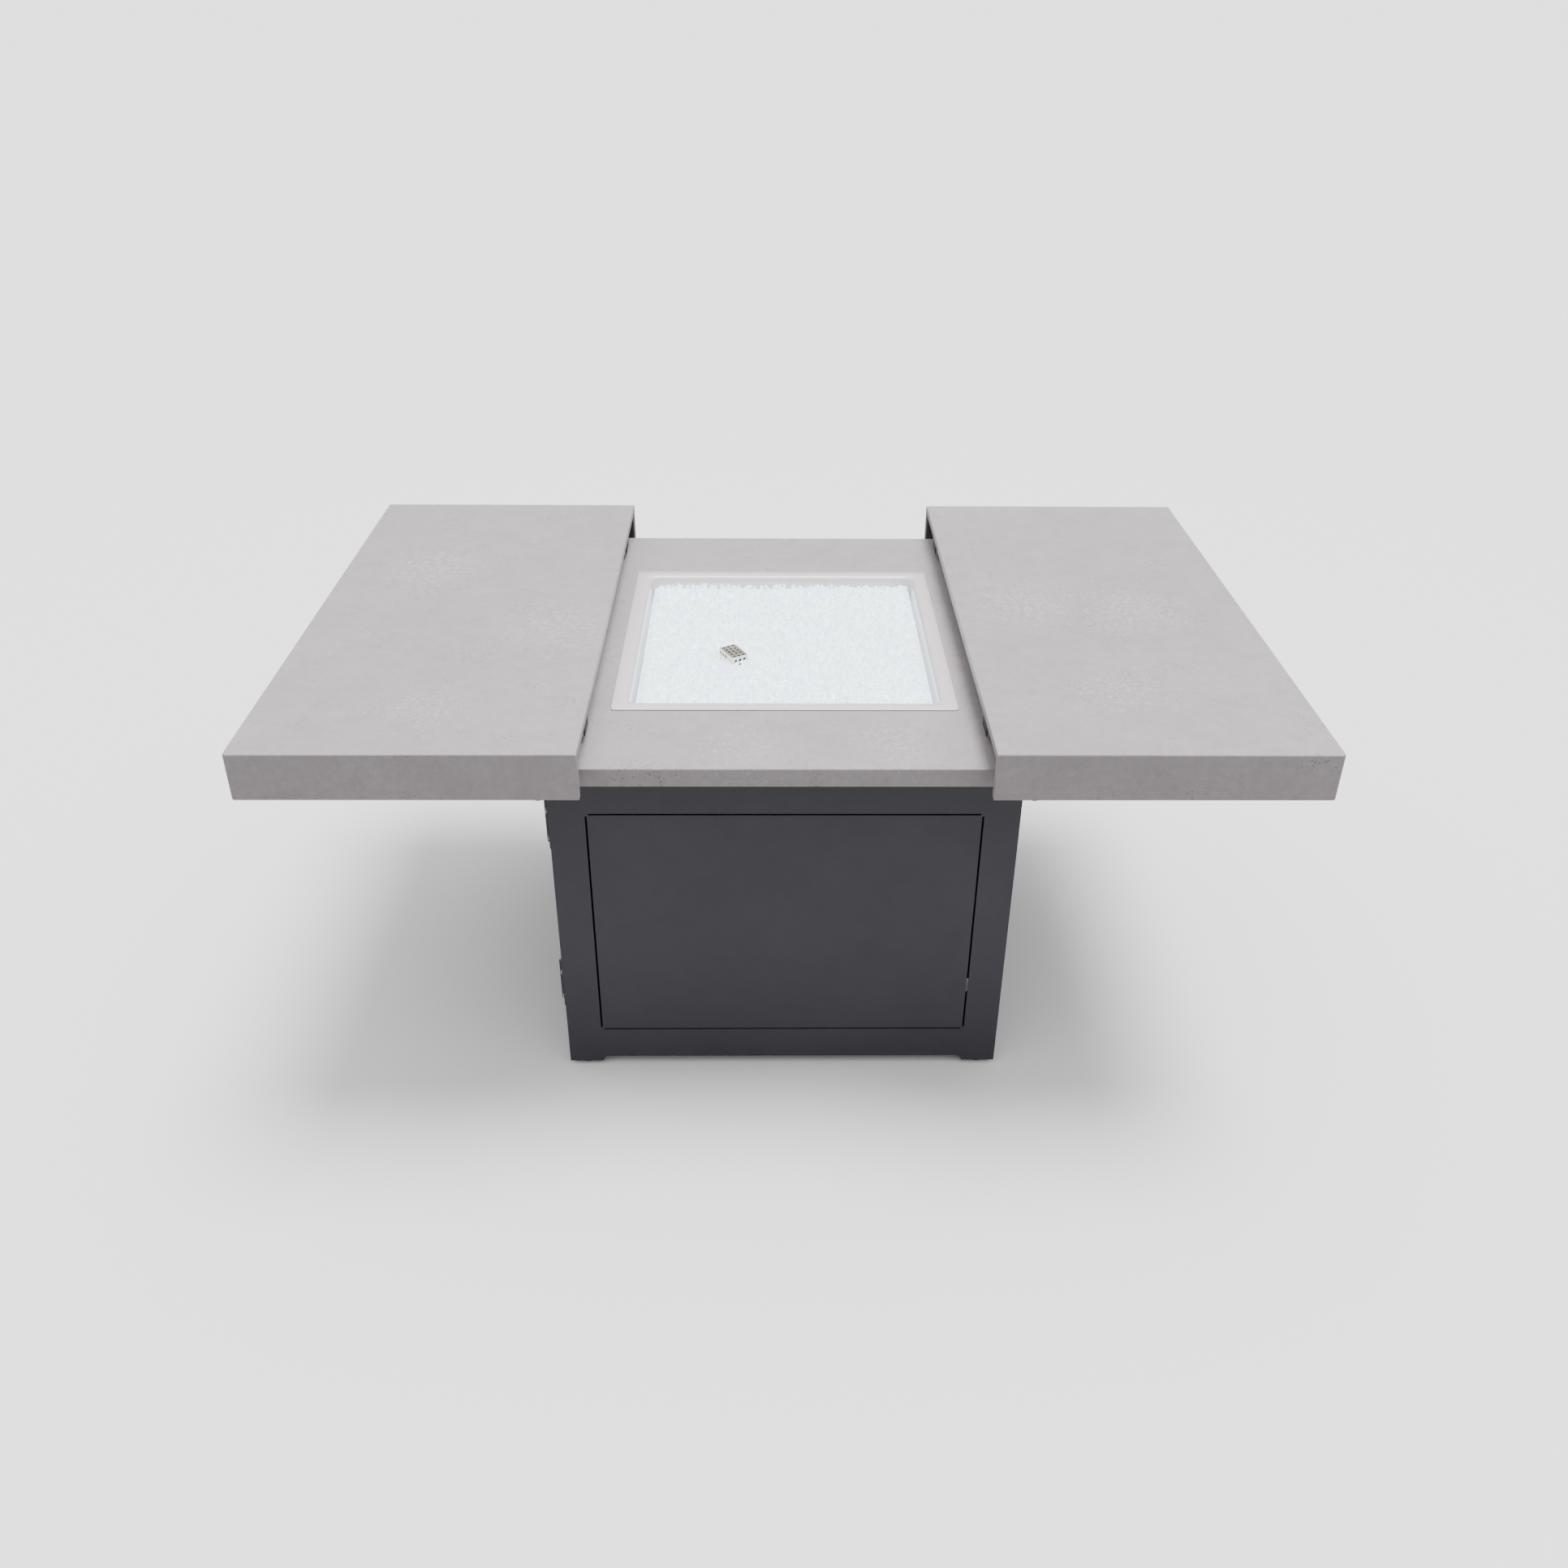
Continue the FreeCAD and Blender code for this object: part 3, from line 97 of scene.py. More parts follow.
class FireTableColours(bpy.types.PropertyGroup):
    """Colours that a user would change."""
    stone: bpy.props.FloatVectorProperty(
        name="Stone", description="Main colour of the cast stone", subtype="COLOR",
        default=(0.335, 0.304, 0.314), min=0, max=1)
    stone_pale: bpy.props.FloatVectorProperty(
        name="Pale stone", description="Bloom and scuffs in the cast stone", subtype="COLOR",
        default=(0.46, 0.445, 0.447), min=0, max=1)
    coat: bpy.props.FloatVectorProperty(
        name="Coat", description="Powder coat of the cabinet", subtype="COLOR",
        default=(0.054, 0.052, 0.066), min=0, max=1)
    pan: bpy.props.FloatVectorProperty(
        name="Pan", description="Coat of the burner pan", subtype="COLOR",
        default=(0.68, 0.62, 0.645), min=0, max=1)
    glass: bpy.props.FloatVectorProperty(
        name="Glass", description="Tint of the crushed glass", subtype="COLOR",
        default=(0.86, 0.94, 1.0), min=0, max=1)


def sizes():
    return bpy.context.scene.fire_table_sizes


def colours():
    return bpy.context.scene.fire_table_colours


# ---- shader node groups

def new_group(name, inputs, outputs):
    tree = bpy.data.node_groups.new(name, "ShaderNodeTree")
    for label, kind, default in inputs:
        socket = tree.interface.new_socket(name=label, in_out="INPUT", socket_type=kind)
        if default is not None:
            socket.default_value = default
    for label, kind in outputs:
        tree.interface.new_socket(name=label, in_out="OUTPUT", socket_type=kind)
    return tree, tree.nodes.new("NodeGroupInput"), tree.nodes.new("NodeGroupOutput")


def noise(tree, vector, scale, detail, roughness=0.55):
    node = tree.nodes.new("ShaderNodeTexNoise")
    node.inputs["Detail"].default_value = detail
    node.inputs["Roughness"].default_value = roughness
    tree.links.new(vector, node.inputs["Vector"])
    if isinstance(scale, (int, float)):
        node.inputs["Scale"].default_value = scale
    else:
        tree.links.new(scale, node.inputs["Scale"])
    return node.outputs["Fac"]


def remap(tree, value, low, high, to_low=0.0, to_high=1.0):
    node = tree.nodes.new("ShaderNodeMapRange")
    node.interpolation_type = "SMOOTHSTEP"
    for label, number in (("From Min", low), ("From Max", high), ("To Min", to_low), ("To Max", to_high)):
        if isinstance(number, (int, float)):
            node.inputs[label].default_value = number
        else:
            tree.links.new(number, node.inputs[label])
    tree.links.new(value, node.inputs["Value"])
    return node.outputs["Result"]


def maths(tree, operation, first, second):
    node = tree.nodes.new("ShaderNodeMath")
    node.operation = operation
    for socket, entry in zip(node.inputs, (first, second)):
        if isinstance(entry, (int, float)):
            socket.default_value = entry
        else:
            tree.links.new(entry, socket)
    return node.outputs["Value"]


def clouds_group():
    """Soft mottling in two sizes. Puts out a mask."""
    tree, start, end = new_group(
        "Clouds", [("Vector", "NodeSocketVector", None), ("Scale", "NodeSocketFloat", 3.0),
                   ("Low", "NodeSocketFloat", 0.35), ("High", "NodeSocketFloat", 0.65)],
        [("Mask", "NodeSocketFloat")])
    wide = noise(tree, start.outputs["Vector"], start.outputs["Scale"], 5, 0.62)
    finer = maths(tree, "MULTIPLY", start.outputs["Scale"], 5.3)
    fine = noise(tree, start.outputs["Vector"], finer, 4, 0.6)
    blend = maths(tree, "ADD", maths(tree, "MULTIPLY", wide, 0.68), maths(tree, "MULTIPLY", fine, 0.32))
    tree.links.new(remap(tree, blend, start.outputs["Low"], start.outputs["High"]), end.inputs["Mask"])
    return tree


def pits_group():
    """Small round pits that gather in drifts. Puts out a mask that is 1 in a pit."""
    tree, start, end = new_group(
        "Pits", [("Vector", "NodeSocketVector", None), ("Scale", "NodeSocketFloat", 150.0),
                 ("Size", "NodeSocketFloat", 0.12)], [("Mask", "NodeSocketFloat")])
    cells = tree.nodes.new("ShaderNodeTexVoronoi")
    tree.links.new(start.outputs["Vector"], cells.inputs["Vector"])
    tree.links.new(start.outputs["Scale"], cells.inputs["Scale"])
    round_pit = remap(tree, cells.outputs["Distance"], maths(tree, "MULTIPLY", start.outputs["Size"], 2.2),
                      start.outputs["Size"])
    drift = maths(tree, "MULTIPLY", start.outputs["Scale"], 0.06)
    gathered = remap(tree, noise(tree, start.outputs["Vector"], drift, 3), 0.52, 0.66)
    tree.links.new(maths(tree, "MULTIPLY", round_pit, gathered), end.inputs["Mask"])
    return tree


def patch_group():
    """One ragged patch round a centre. Puts out a mask."""
    tree, start, end = new_group(
        "Patch", [("Vector", "NodeSocketVector", None), ("Centre", "NodeSocketVector", None),
                  ("Radius", "NodeSocketFloat", 0.1), ("Scale", "NodeSocketFloat", 60.0)],
        [("Mask", "NodeSocketFloat")])
    away = tree.nodes.new("ShaderNodeVectorMath")
    away.operation = "DISTANCE"
    tree.links.new(start.outputs["Vector"], away.inputs[0])
    tree.links.new(start.outputs["Centre"], away.inputs[1])
    share = maths(tree, "DIVIDE", away.outputs["Value"], start.outputs["Radius"])
    near = remap(tree, share, 1.0, 0.0, -0.05, 0.2)
    crumbs = noise(tree, start.outputs["Vector"], start.outputs["Scale"], 6, 0.68)
    tree.links.new(remap(tree, maths(tree, "ADD", crumbs, near), 0.62, 0.82), end.inputs["Mask"])
    return tree


def grain_group():
    """Fine grain, which a stretched vector turns into brush lines. Puts out a height and a mask."""
    tree, start, end = new_group(
        "Grain", [("Vector", "NodeSocketVector", None), ("Scale", "NodeSocketFloat", 600.0)],
        [("Height", "NodeSocketFloat"), ("Mask", "NodeSocketFloat")])
    fine = noise(tree, start.outputs["Vector"], start.outputs["Scale"], 3, 0.5)
    broad = maths(tree, "MULTIPLY", start.outputs["Scale"], 0.035)
    cloud = noise(tree, start.outputs["Vector"], broad, 3, 0.6)
    tree.links.new(fine, end.inputs["Height"])
    tree.links.new(remap(tree, cloud, 0.35, 0.65), end.inputs["Mask"])
    return tree


GROUP_MAKERS = {"Clouds": clouds_group, "Pits": pits_group, "Patch": patch_group, "Grain": grain_group}


def place_group(tree, name, vector, **values):
    if name not in bpy.data.node_groups:
        GROUP_MAKERS[name]()
    node = tree.nodes.new("ShaderNodeGroup")
    node.node_tree = bpy.data.node_groups[name]
    tree.links.new(vector, node.inputs["Vector"])
    for label, number in values.items():
        node.inputs[label].default_value = number
    return node


# ---- materials

def new_material(name):
    material = bpy.data.materials.new(f"{name}_finish")
    material.use_nodes = True
    tree = material.node_tree
    shader = tree.nodes["Principled BSDF"]
    place = tree.nodes.new("ShaderNodeTexCoord").outputs["Object"]
    return material, tree, shader, place


def stretched(tree, vector, factors):
    mapping = tree.nodes.new("ShaderNodeMapping")
    mapping.inputs["Scale"].default_value = factors
    tree.links.new(vector, mapping.inputs["Vector"])
    return mapping.outputs["Vector"]


def mix(tree, mask, first, second):
    """Blend between two colours, each a constant or a socket."""
    node = tree.nodes.new("ShaderNodeMix")
    node.data_type = "RGBA"
    tree.links.new(mask, node.inputs["Factor"])
    for label, colour in (("A", first), ("B", second)):
        socket = next(item for item in node.inputs if item.name == label and item.type == "RGBA")
        if isinstance(colour, bpy.types.NodeSocket):
            tree.links.new(colour, socket)
        else:
            socket.default_value = (*colour, 1)
    return next(item for item in node.outputs if item.type == "RGBA")


def bump(tree, shader, height, strength, distance):
    node = tree.nodes.new("ShaderNodeBump")
    node.inputs["Strength"].default_value = strength
    node.inputs["Distance"].default_value = distance
    tree.links.new(height, node.inputs["Height"])
    tree.links.new(node.outputs["Normal"], shader.inputs["Normal"])


def scaled(colour, factor):
    return tuple(min(1.0, channel * factor) for channel in colour)


# centre, radius and fineness of each ragged pale patch in the castings
STONE_PATCHES = [
    ((0.155, -0.340, 0.617), 0.17, 150),
    ((-0.060, -0.360, 0.617), 0.16, 120),
    ((0.380, 0.020, 0.665), 0.26, 130),
    ((0.560, 0.000, 0.665), 0.24, 110),
    ((0.480, -0.280, 0.665), 0.22, 160),
    ((-0.340, -0.080, 0.665), 0.26, 130),
    ((-0.580, 0.160, 0.665), 0.24, 120),
    ((-0.500, -0.330, 0.665), 0.20, 150),
]


def stone_material():
    """Cast stone: mottled, lightly pitted, with pale bloom and worn patches."""
    material, tree, shader, place = new_material("cast_stone")
    main, pale = tuple(colours().stone), tuple(colours().stone_pale)
    broad = place_group(tree, "Clouds", place, Scale=2.6, Low=0.36, High=0.64)
    colour = mix(tree, broad.outputs["Mask"], scaled(main, 0.94), scaled(main, 1.06))
    middle = place_group(tree, "Clouds", place, Scale=19, Low=0.38, High=0.62)
    colour = mix(tree, maths(tree, "MULTIPLY", middle.outputs["Mask"], 0.55), colour, scaled(main, 1.12))
    fine = place_group(tree, "Clouds", place, Scale=85, Low=0.40, High=0.62)
    colour = mix(tree, maths(tree, "MULTIPLY", fine.outputs["Mask"], 0.50), colour, scaled(main, 0.88))
    scuff = None
    for centre, radius, scale in STONE_PATCHES:
        patch = place_group(tree, "Patch", place, Centre=centre, Radius=radius, Scale=scale).outputs["Mask"]
        scuff = maths(tree, "MAXIMUM", scuff, patch) if scuff else patch
    colour = mix(tree, maths(tree, "MULTIPLY", scuff, 0.75), colour, pale)
    streaks = place_group(tree, "Clouds", stretched(tree, place, (0.22, 1, 1)), Scale=46, Low=0.57, High=0.68)
    colour = mix(tree, maths(tree, "MULTIPLY", streaks.outputs["Mask"], 0.30), colour, scaled(main, 0.80))
    pits = place_group(tree, "Pits", place, Scale=150, Size=0.15)
    specks = place_group(tree, "Pits", place, Scale=400, Size=0.2)
    marks = maths(tree, "MAXIMUM", pits.outputs["Mask"], maths(tree, "MULTIPLY", specks.outputs["Mask"], 0.6))
    colour = mix(tree, maths(tree, "MULTIPLY", marks, 0.6), colour, scaled(main, 0.5))
    tree.links.new(colour, shader.inputs["Base Color"])
    tree.links.new(remap(tree, fine.outputs["Mask"], 0, 1, 0.56, 0.74), shader.inputs["Roughness"])
    grain = place_group(tree, "Grain", place, Scale=420)
    height = maths(tree, "ADD", maths(tree, "MULTIPLY", grain.outputs["Height"], 0.4),
                   maths(tree, "MULTIPLY", scuff, 0.6))
    height = maths(tree, "SUBTRACT", height, maths(tree, "MULTIPLY", marks, 0.9))
    bump(tree, shader, height, 0.6, 0.001)
    shader.inputs["Specular IOR Level"].default_value = 0.4
    return material


def glass_material():
    """Clear crushed glass: bright, faintly blue, with a little of what is behind each chip, and a faint glow of
    painted light that brightens it.
    """
    material, tree, shader, place = new_material("clear_glass")
    tint = tuple(colours().glass)
    cloud = place_group(tree, "Clouds", place, Scale=30, Low=0.38, High=0.62)
    tree.links.new(mix(tree, cloud.outputs["Mask"], tint, scaled(tint, 1.06)), shader.inputs["Base Color"])
    grain = place_group(tree, "Grain", place, Scale=240)
    tree.links.new(remap(tree, grain.outputs["Mask"], 0, 1, 0.04, 0.16), shader.inputs["Roughness"])
    bump(tree, shader, grain.outputs["Height"], 0.12, 0.0006)
    shader.inputs["IOR"].default_value = 1.5
    shader.inputs["Transmission Weight"].default_value = 0.12
    # the glass glows a little in its own tint: painted light that brightens the bed and the chips
    shader.inputs["Emission Color"].default_value = (*tint, 1)
    shader.inputs["Emission Strength"].default_value = 0.8
    shader.inputs["Coat Weight"].default_value = 0.3
    shader.inputs["Coat Roughness"].default_value = 0.03
    return material


# each finish: colour, drift of the colour, metallic, span of roughness, scale and relief of the grain
FINISHES = {
    "charcoal_coat": dict(colour="coat", drift=0.05, metallic=0.0, rough=(0.43, 0.47), scale=1100, relief=0.07),
    "pan_coat": dict(colour="pan", drift=0.03, metallic=0.0, rough=(0.30, 0.38), scale=900,
                     relief=0.02, coat=1.0),
    "stainless": dict(colour=(0.66, 0.61, 0.54), drift=0.14, metallic=1.0, rough=(0.24, 0.40), scale=260,
                      relief=0.05, stretch=(1, 14, 14)),
    "zinc_steel": dict(colour=(0.56, 0.57, 0.58), drift=0.12, metallic=1.0, rough=(0.30, 0.46), scale=300,
                       relief=0.04),
    "black_steel": dict(colour=(0.022, 0.022, 0.024), drift=0.10, metallic=0.0, rough=(0.44, 0.52), scale=900,
                        relief=0.06),
    "dark_plastic": dict(colour=(0.028, 0.028, 0.030), drift=0.12, metallic=0.0, rough=(0.42, 0.55), scale=1300,
                         relief=0.08),
    "black_rubber": dict(colour=(0.024, 0.024, 0.025), drift=0.25, metallic=0.0, rough=(0.62, 0.80), scale=800,
                         relief=0.12),
    "grey_rubber": dict(colour=(0.36, 0.35, 0.35), drift=0.10, metallic=0.0, rough=(0.55, 0.70), scale=800,
                        relief=0.08),
    "valve_brass": dict(colour=(0.72, 0.53, 0.25), drift=0.15, metallic=1.0, rough=(0.28, 0.42), scale=240,
                        relief=0.04, stretch=(10, 10, 1)),
    "white_ceramic": dict(colour=(0.84, 0.82, 0.77), drift=0.04, metallic=0.0, rough=(0.12, 0.2), scale=500,
                          relief=0.02),
    "knob_metal": dict(colour=(0.62, 0.62, 0.63), drift=0.10, metallic=1.0, rough=(0.24, 0.34), scale=420,
                       relief=0.04, stretch=(1, 6, 6)),
    "yellow_hose": dict(colour=(0.74, 0.50, 0.05), drift=0.08, metallic=0.0, rough=(0.34, 0.46), scale=500,
                        relief=0.04),
}


def finished_material(name):
    """A finish with drifting colour, a span of roughness and fine relief."""
    recipe = FINISHES[name]
    colour = recipe["colour"]
    if isinstance(colour, str):
        colour = tuple(getattr(colours(), colour))
    material, tree, shader, place = new_material(name)
    cloud = place_group(tree, "Clouds", place, Scale=6, Low=0.36, High=0.64)
    drift = recipe["drift"]
    tree.links.new(mix(tree, cloud.outputs["Mask"], scaled(colour, 1 - drift), scaled(colour, 1 + drift)),
                   shader.inputs["Base Color"])
    vector = stretched(tree, place, recipe["stretch"]) if "stretch" in recipe else place
    grain = place_group(tree, "Grain", vector, Scale=recipe["scale"])
    tree.links.new(remap(tree, grain.outputs["Mask"], 0, 1, *recipe["rough"]), shader.inputs["Roughness"])
    bump(tree, shader, grain.outputs["Height"], recipe["relief"], 0.0005)
    shader.inputs["Metallic"].default_value = recipe["metallic"]
    shader.inputs["Coat Weight"].default_value = recipe.get("coat", 0.0)
    shader.inputs["Coat Roughness"].default_value = 0.06
    return material


def look(name):
    """The material of one of the record's slots, made when it is first asked for."""
    made = bpy.data.materials.get(f"{name}_finish")
    if made:
        return made
    if name == "cast_stone":
        return stone_material()
    if name == "clear_glass":
        return glass_material()
    return finished_material(name)


# ---- mesh helpers

def new_piece(name, mesh, node, slot=None, extra_nodes=()):
    """Make an object of a bmesh, let it ride with its CAD node's body and stand for it."""
    data = bpy.data.meshes.new(name)
    mesh.to_mesh(data)
    mesh.free()
    piece = bpy.data.objects.new(name, data)
    bpy.context.scene.collection.objects.link(piece)
    finish = slot or SLOT_OF[node]
    data.materials.append(look(finish))
    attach(piece, BODY_OF[node])
    if extra_nodes is not None:
        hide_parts(node, *extra_nodes)
    return piece


def smooth_within(mesh, angle):
    """Smooth shading, with every edge that turns more than the angle kept sharp."""
    for face in mesh.faces:
        face.smooth = True
    for edge in mesh.edges:
        edge.smooth = len(edge.link_faces) == 2 and edge.calc_face_angle(0) < math.radians(angle)


def merged_copy(node):
    """The CAD node's mesh with its loose triangles joined and its flat faces made whole."""
    mesh = bmesh.new()
    mesh.from_mesh(frame["nodes"][node].data)
    bmesh.ops.remove_doubles(mesh, verts=mesh.verts, dist=2e-6)
    bmesh.ops.dissolve_limit(mesh, angle_limit=math.radians(0.6), verts=mesh.verts, edges=mesh.edges)
    smooth_within(mesh, 30)
    return mesh


def soften(piece, width, segments=2, angle=32):
    modifier = piece.modifiers.new("soft_edges", "BEVEL")
    modifier.width = width
    modifier.segments = segments
    modifier.limit_method = "ANGLE"
    modifier.angle_limit = math.radians(angle)
    modifier.harden_normals = True
    modifier.use_clamp_overlap = True


def crisp(node):
    """A CAD node again, with smooth round faces and crisp edges."""
    return new_piece(f"{node}_skin", merged_copy(node), node)


def softened(node, width=None, segments=2):
    """A CAD node again, with softened edges."""
    piece = crisp(node)
    soften(piece, width or sizes().sheet_edge, segments)
    return piece


def islands(node):
    """Lowest and highest corner of each separate solid of a node."""
    mesh = bmesh.new()
    mesh.from_mesh(frame["nodes"][node].data)
    bmesh.ops.remove_doubles(mesh, verts=mesh.verts, dist=2e-6)
    waiting = set(mesh.verts)
    found = []
    while waiting:
        stack = [waiting.pop()]
        members = []
        while stack:
            vertex = stack.pop()
            members.append(vertex.co.copy())
            for edge in vertex.link_edges:
                other = edge.other_vert(vertex)
                if other in waiting:
                    waiting.remove(other)
                    stack.append(other)
        low = Vector(min(point[axis] for point in members) for axis in range(3))
        high = Vector(max(point[axis] for point in members) for axis in range(3))
        found.append((low, high))
    mesh.free()
    return sorted(found, key=lambda pair: tuple(pair[0]))


# ---- pieces

def make_top_halves():
    for word in HALVES:
        softened(f"{word}_top", sizes().cast_edge, 3)
        softened(f"{word}_inner_frame")
        softened(f"{word}_lip_bumpers", 0.0008)


def make_deck():
    softened("deck", sizes().cast_edge, 3)


def rounded_ring(mesh, half, bend, level, steps=8):
    """A loop of vertices round a square with rounded corners."""
    loop = []
    for corner in range(4):
        middle = Vector((half - bend, half - bend))
        for index in range(steps + 1):
            angle = math.pi / 2 * index / steps
            point = middle + bend * Vector((math.cos(angle), math.sin(angle)))
            turned = Matrix.Rotation(math.pi / 2 * corner, 2) @ point
            loop.append(mesh.verts.new((*turned, level)))
    return loop


def lofted(mesh, rings):
    """Faces between each ring of vertices and the next."""
    for before, after in zip(rings, rings[1:]):
        for index, vertex in enumerate(before):
            following = (index + 1) % len(before)
            mesh.faces.new((vertex, before[following], after[following], after[index]))


def make_pan():
    """A pressed pan: flat flange, rolled bend, straight wall and floor, as one sheet."""
    low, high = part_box("burner_pan")
    bend = sizes().pan_bend
    top, wall, edge = high.z, 0.226, high.x
    profile = [(edge, 0.0060, top - 0.0012), (edge, 0.0060, top - 0.0007),
               (edge - 0.0002, 0.0058, top - 0.0002), (edge - 0.0007, 0.0053, top)]
    for index in range(9):
        turn = math.pi / 2 * index / 8
        half = wall + bend * (1 - math.sin(turn))
        profile.append((half, 0.0105 + half - wall, top - bend * (1 - math.cos(turn))))
    floor, root = low.z + 0.002, 0.005
    for index in range(5):
        turn = math.pi / 2 * index / 4
        inward = root * (1 - math.cos(turn))
        profile.append((wall - inward, 0.0105 - inward, floor + root * (1 - math.sin(turn))))
    mesh = bmesh.new()
    rings = [rounded_ring(mesh, *entry) for entry in profile]
    lofted(mesh, rings)
    mesh.faces.new(rings[-1])
    bmesh.ops.recalc_face_normals(mesh, faces=mesh.faces)
    mesh.faces.ensure_lookup_table()
    if mesh.faces[-1].normal.z < 0:
        bmesh.ops.reverse_faces(mesh, faces=mesh.faces)
    for face in mesh.faces:
        face.smooth = True
    piece = new_piece("burner_pan_sheet", mesh, "burner_pan")
    sheet = piece.modifiers.new("sheet_thickness", "SOLIDIFY")
    sheet.thickness = 0.0014
    sheet.offset = -1


def chip_shapes(draw, count):
    """Convex chips of crushed glass, each from a handful of points."""
    shapes = []
    for _ in range(count):
        mesh = bmesh.new()
        for _ in range(9):
            direction = Vector((draw.gauss(0, 1), draw.gauss(0, 1), draw.gauss(0, 1))).normalized()
            mesh.verts.new(direction * draw.uniform(0.34, 0.56))
        bmesh.ops.convex_hull(mesh, input=mesh.verts, use_existing_faces=False)
        loose = [vertex for vertex in mesh.verts if not vertex.link_faces]
        bmesh.ops.delete(mesh, geom=loose, context="VERTS")
        mesh.verts.index_update()
        points = [vertex.co.copy() for vertex in mesh.verts]
        faces = [tuple(vertex.index for vertex in face.verts) for face in mesh.faces]
        shapes.append((points, faces))
        mesh.free()
    return shapes


def outside_cage(x, y, middle):
    """How far a spot lies outside the igniter cage's walls, negative inside them."""
    across, along = x - middle.x, y - middle.y
    cosine, sine = math.cos(CAGE_TURN), math.sin(CAGE_TURN)
    return max(abs(across * cosine + along * sine) - CAGE_HALF[0],
               abs(along * cosine - across * sine) - CAGE_HALF[1])


def make_glass():
    """A bed of crushed glass: an uneven base under layers of loose chips."""
    low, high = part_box("fire_glass")
    draw = random.Random(sizes().seed)
    size = sizes().chip_size
    edge = high.x - 0.0035
    cage_low, cage_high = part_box("igniter_cage")
    middle = (cage_low + cage_high) / 2
    base = bmesh.new()
    bmesh.ops.create_grid(base, x_segments=80, y_segments=80, size=edge)
    for vertex in base.verts:
        vertex.co.z = high.z - 0.0125 + draw.uniform(-0.0015, 0.0015)
    covered = [face for face in base.faces if outside_cage(*face.calc_center_median().xy, middle) < -0.001]
    bmesh.ops.delete(base, geom=covered, context="FACES")
    walls = bmesh.ops.extrude_face_region(base, geom=base.faces[:])
    for item in walls["geom"]:
        if isinstance(item, bmesh.types.BMVert):
            item.co.z = low.z + 0.004
    bmesh.ops.recalc_face_normals(base, faces=base.faces)
    new_piece("fire_glass_bed", base, "fire_glass")

    shapes = chip_shapes(draw, 24)
    rows = int(2 * edge / (size * 0.80))
    spots = []
    for layer in range(sizes().chip_layers):
        for row in range(rows):
            for column in range(rows):
                x = -edge + (row + draw.uniform(0.1, 0.9)) * 2 * edge / rows
                y = -edge + (column + draw.uniform(0.1, 0.9)) * 2 * edge / rows
                scale = size * draw.uniform(0.55, 1.25)
                level = high.z - 0.0115 + layer * size * 0.34 + draw.uniform(-0.0012, 0.0012)
                if draw.random() < 0.16 * layer or outside_cage(x, y, middle) < scale * 0.45:
                    continue
                reach = edge + 0.0005 - scale * 0.5 - draw.uniform(0, 0.005)
                spots.append((layer, max(-reach, min(reach, x)), max(-reach, min(reach, y)), level, scale))
    # a low heap against the cage, highest at its front right end
    bottom, crest = high.z - 0.005, cage_high.z - 0.0060
    for _ in range(1100):
        x, y = middle.x + draw.uniform(-0.042, 0.042), middle.y + draw.uniform(-0.046, 0.042)
        scale = size * draw.uniform(0.45, 0.85)
        away = outside_cage(x, y, middle)
        if scale * 0.42 < away < 0.017:
            ahead = (x - middle.x) * 0.6 - (y - middle.y) * 0.8 > 0
            rise = (crest - bottom) * (1.0 if ahead else 0.85) * (1 - away / 0.024)
            spots.append((0, x, y, bottom + rise * draw.uniform(0.7, 1.0), scale))
    for layer in range(sizes().chip_layers):
        data = bpy.data.meshes.new("chips")
        points, faces = [], []
        for entry in spots:
            if entry[0] != layer:
                continue
            shape_points, shape_faces = draw.choice(shapes)
            turn = Euler([draw.uniform(0, math.tau) for _ in range(3)]).to_matrix()
            first = len(points)
            points.extend(turn @ point * entry[4] + Vector(entry[1:4]) for point in shape_points)
            faces.extend(tuple(first + index for index in face) for face in shape_faces)
        data.from_pydata(points, [], faces)
        chips = bmesh.new()
        chips.from_mesh(data)
        bpy.data.meshes.remove(data)
        new_piece(f"glass_chips_{layer + 1}", chips, "fire_glass", extra_nodes=None)


def make_igniter():
    """The perforated cage with a dark lining behind its holes, painted shade that keeps them dark, and the
    probes below it.
    """
    crisp("igniter_cage")
    low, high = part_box("igniter_cage")
    middle = (low + high) / 2
    # a dark open-bottomed shell just inside the sheet: painted shade behind the cage's holes
    shade_lining = bmesh.new()
    bmesh.ops.create_cube(shade_lining, size=1)
    bmesh.ops.scale(shade_lining, verts=shade_lining.verts,
                    vec=(2 * (CAGE_HALF[0] - LINING_GAP), 2 * (CAGE_HALF[1] - LINING_GAP), LINING_HEIGHT))
    floor = [face for face in shade_lining.faces if face.normal.z < -0.5]
    bmesh.ops.delete(shade_lining, geom=floor, context="FACES_ONLY")
    bmesh.ops.solidify(shade_lining, geom=shade_lining.faces[:], thickness=0.0003)
    bmesh.ops.rotate(shade_lining, verts=shade_lining.verts, cent=(0, 0, 0), matrix=Matrix.Rotation(CAGE_TURN, 3, "Z"))
    bmesh.ops.translate(shade_lining, verts=shade_lining.verts,
                        vec=(middle.x, middle.y, high.z - LINING_GAP - LINING_HEIGHT / 2))
    bmesh.ops.recalc_face_normals(shade_lining, faces=shade_lining.faces)
    new_piece("igniter_cage_soot", shade_lining, "igniter_cage", "black_steel", extra_nodes=None)
    for node in ("spark_electrode", "flame_sensor"):
        softened(node, 0.0002)


def make_cabinet():
    for node in ("front_panel", "back_panel", "right_panel", "left_surround", "base_tray", "foot_plates"):
        crisp(node)
    for node in ("corner_posts", "long_deck_rails", "short_deck_rails", "bottle_guides", "heat_shield"):
        softened(node)


def make_door():
    for node in ("access_door", "door_catch", "door_pull"):
        softened(node, 0.0006)
    for node in ("fixed_hinge_leaves", "moving_hinge_leaves", "hinge_pins"):
        softened(node, 0.0004)


def make_controls():
    for node in ("control_plate", "igniter_barrel", "igniter_button", "valve_knob", "valve_stem"):
        softened(node, 0.0005)


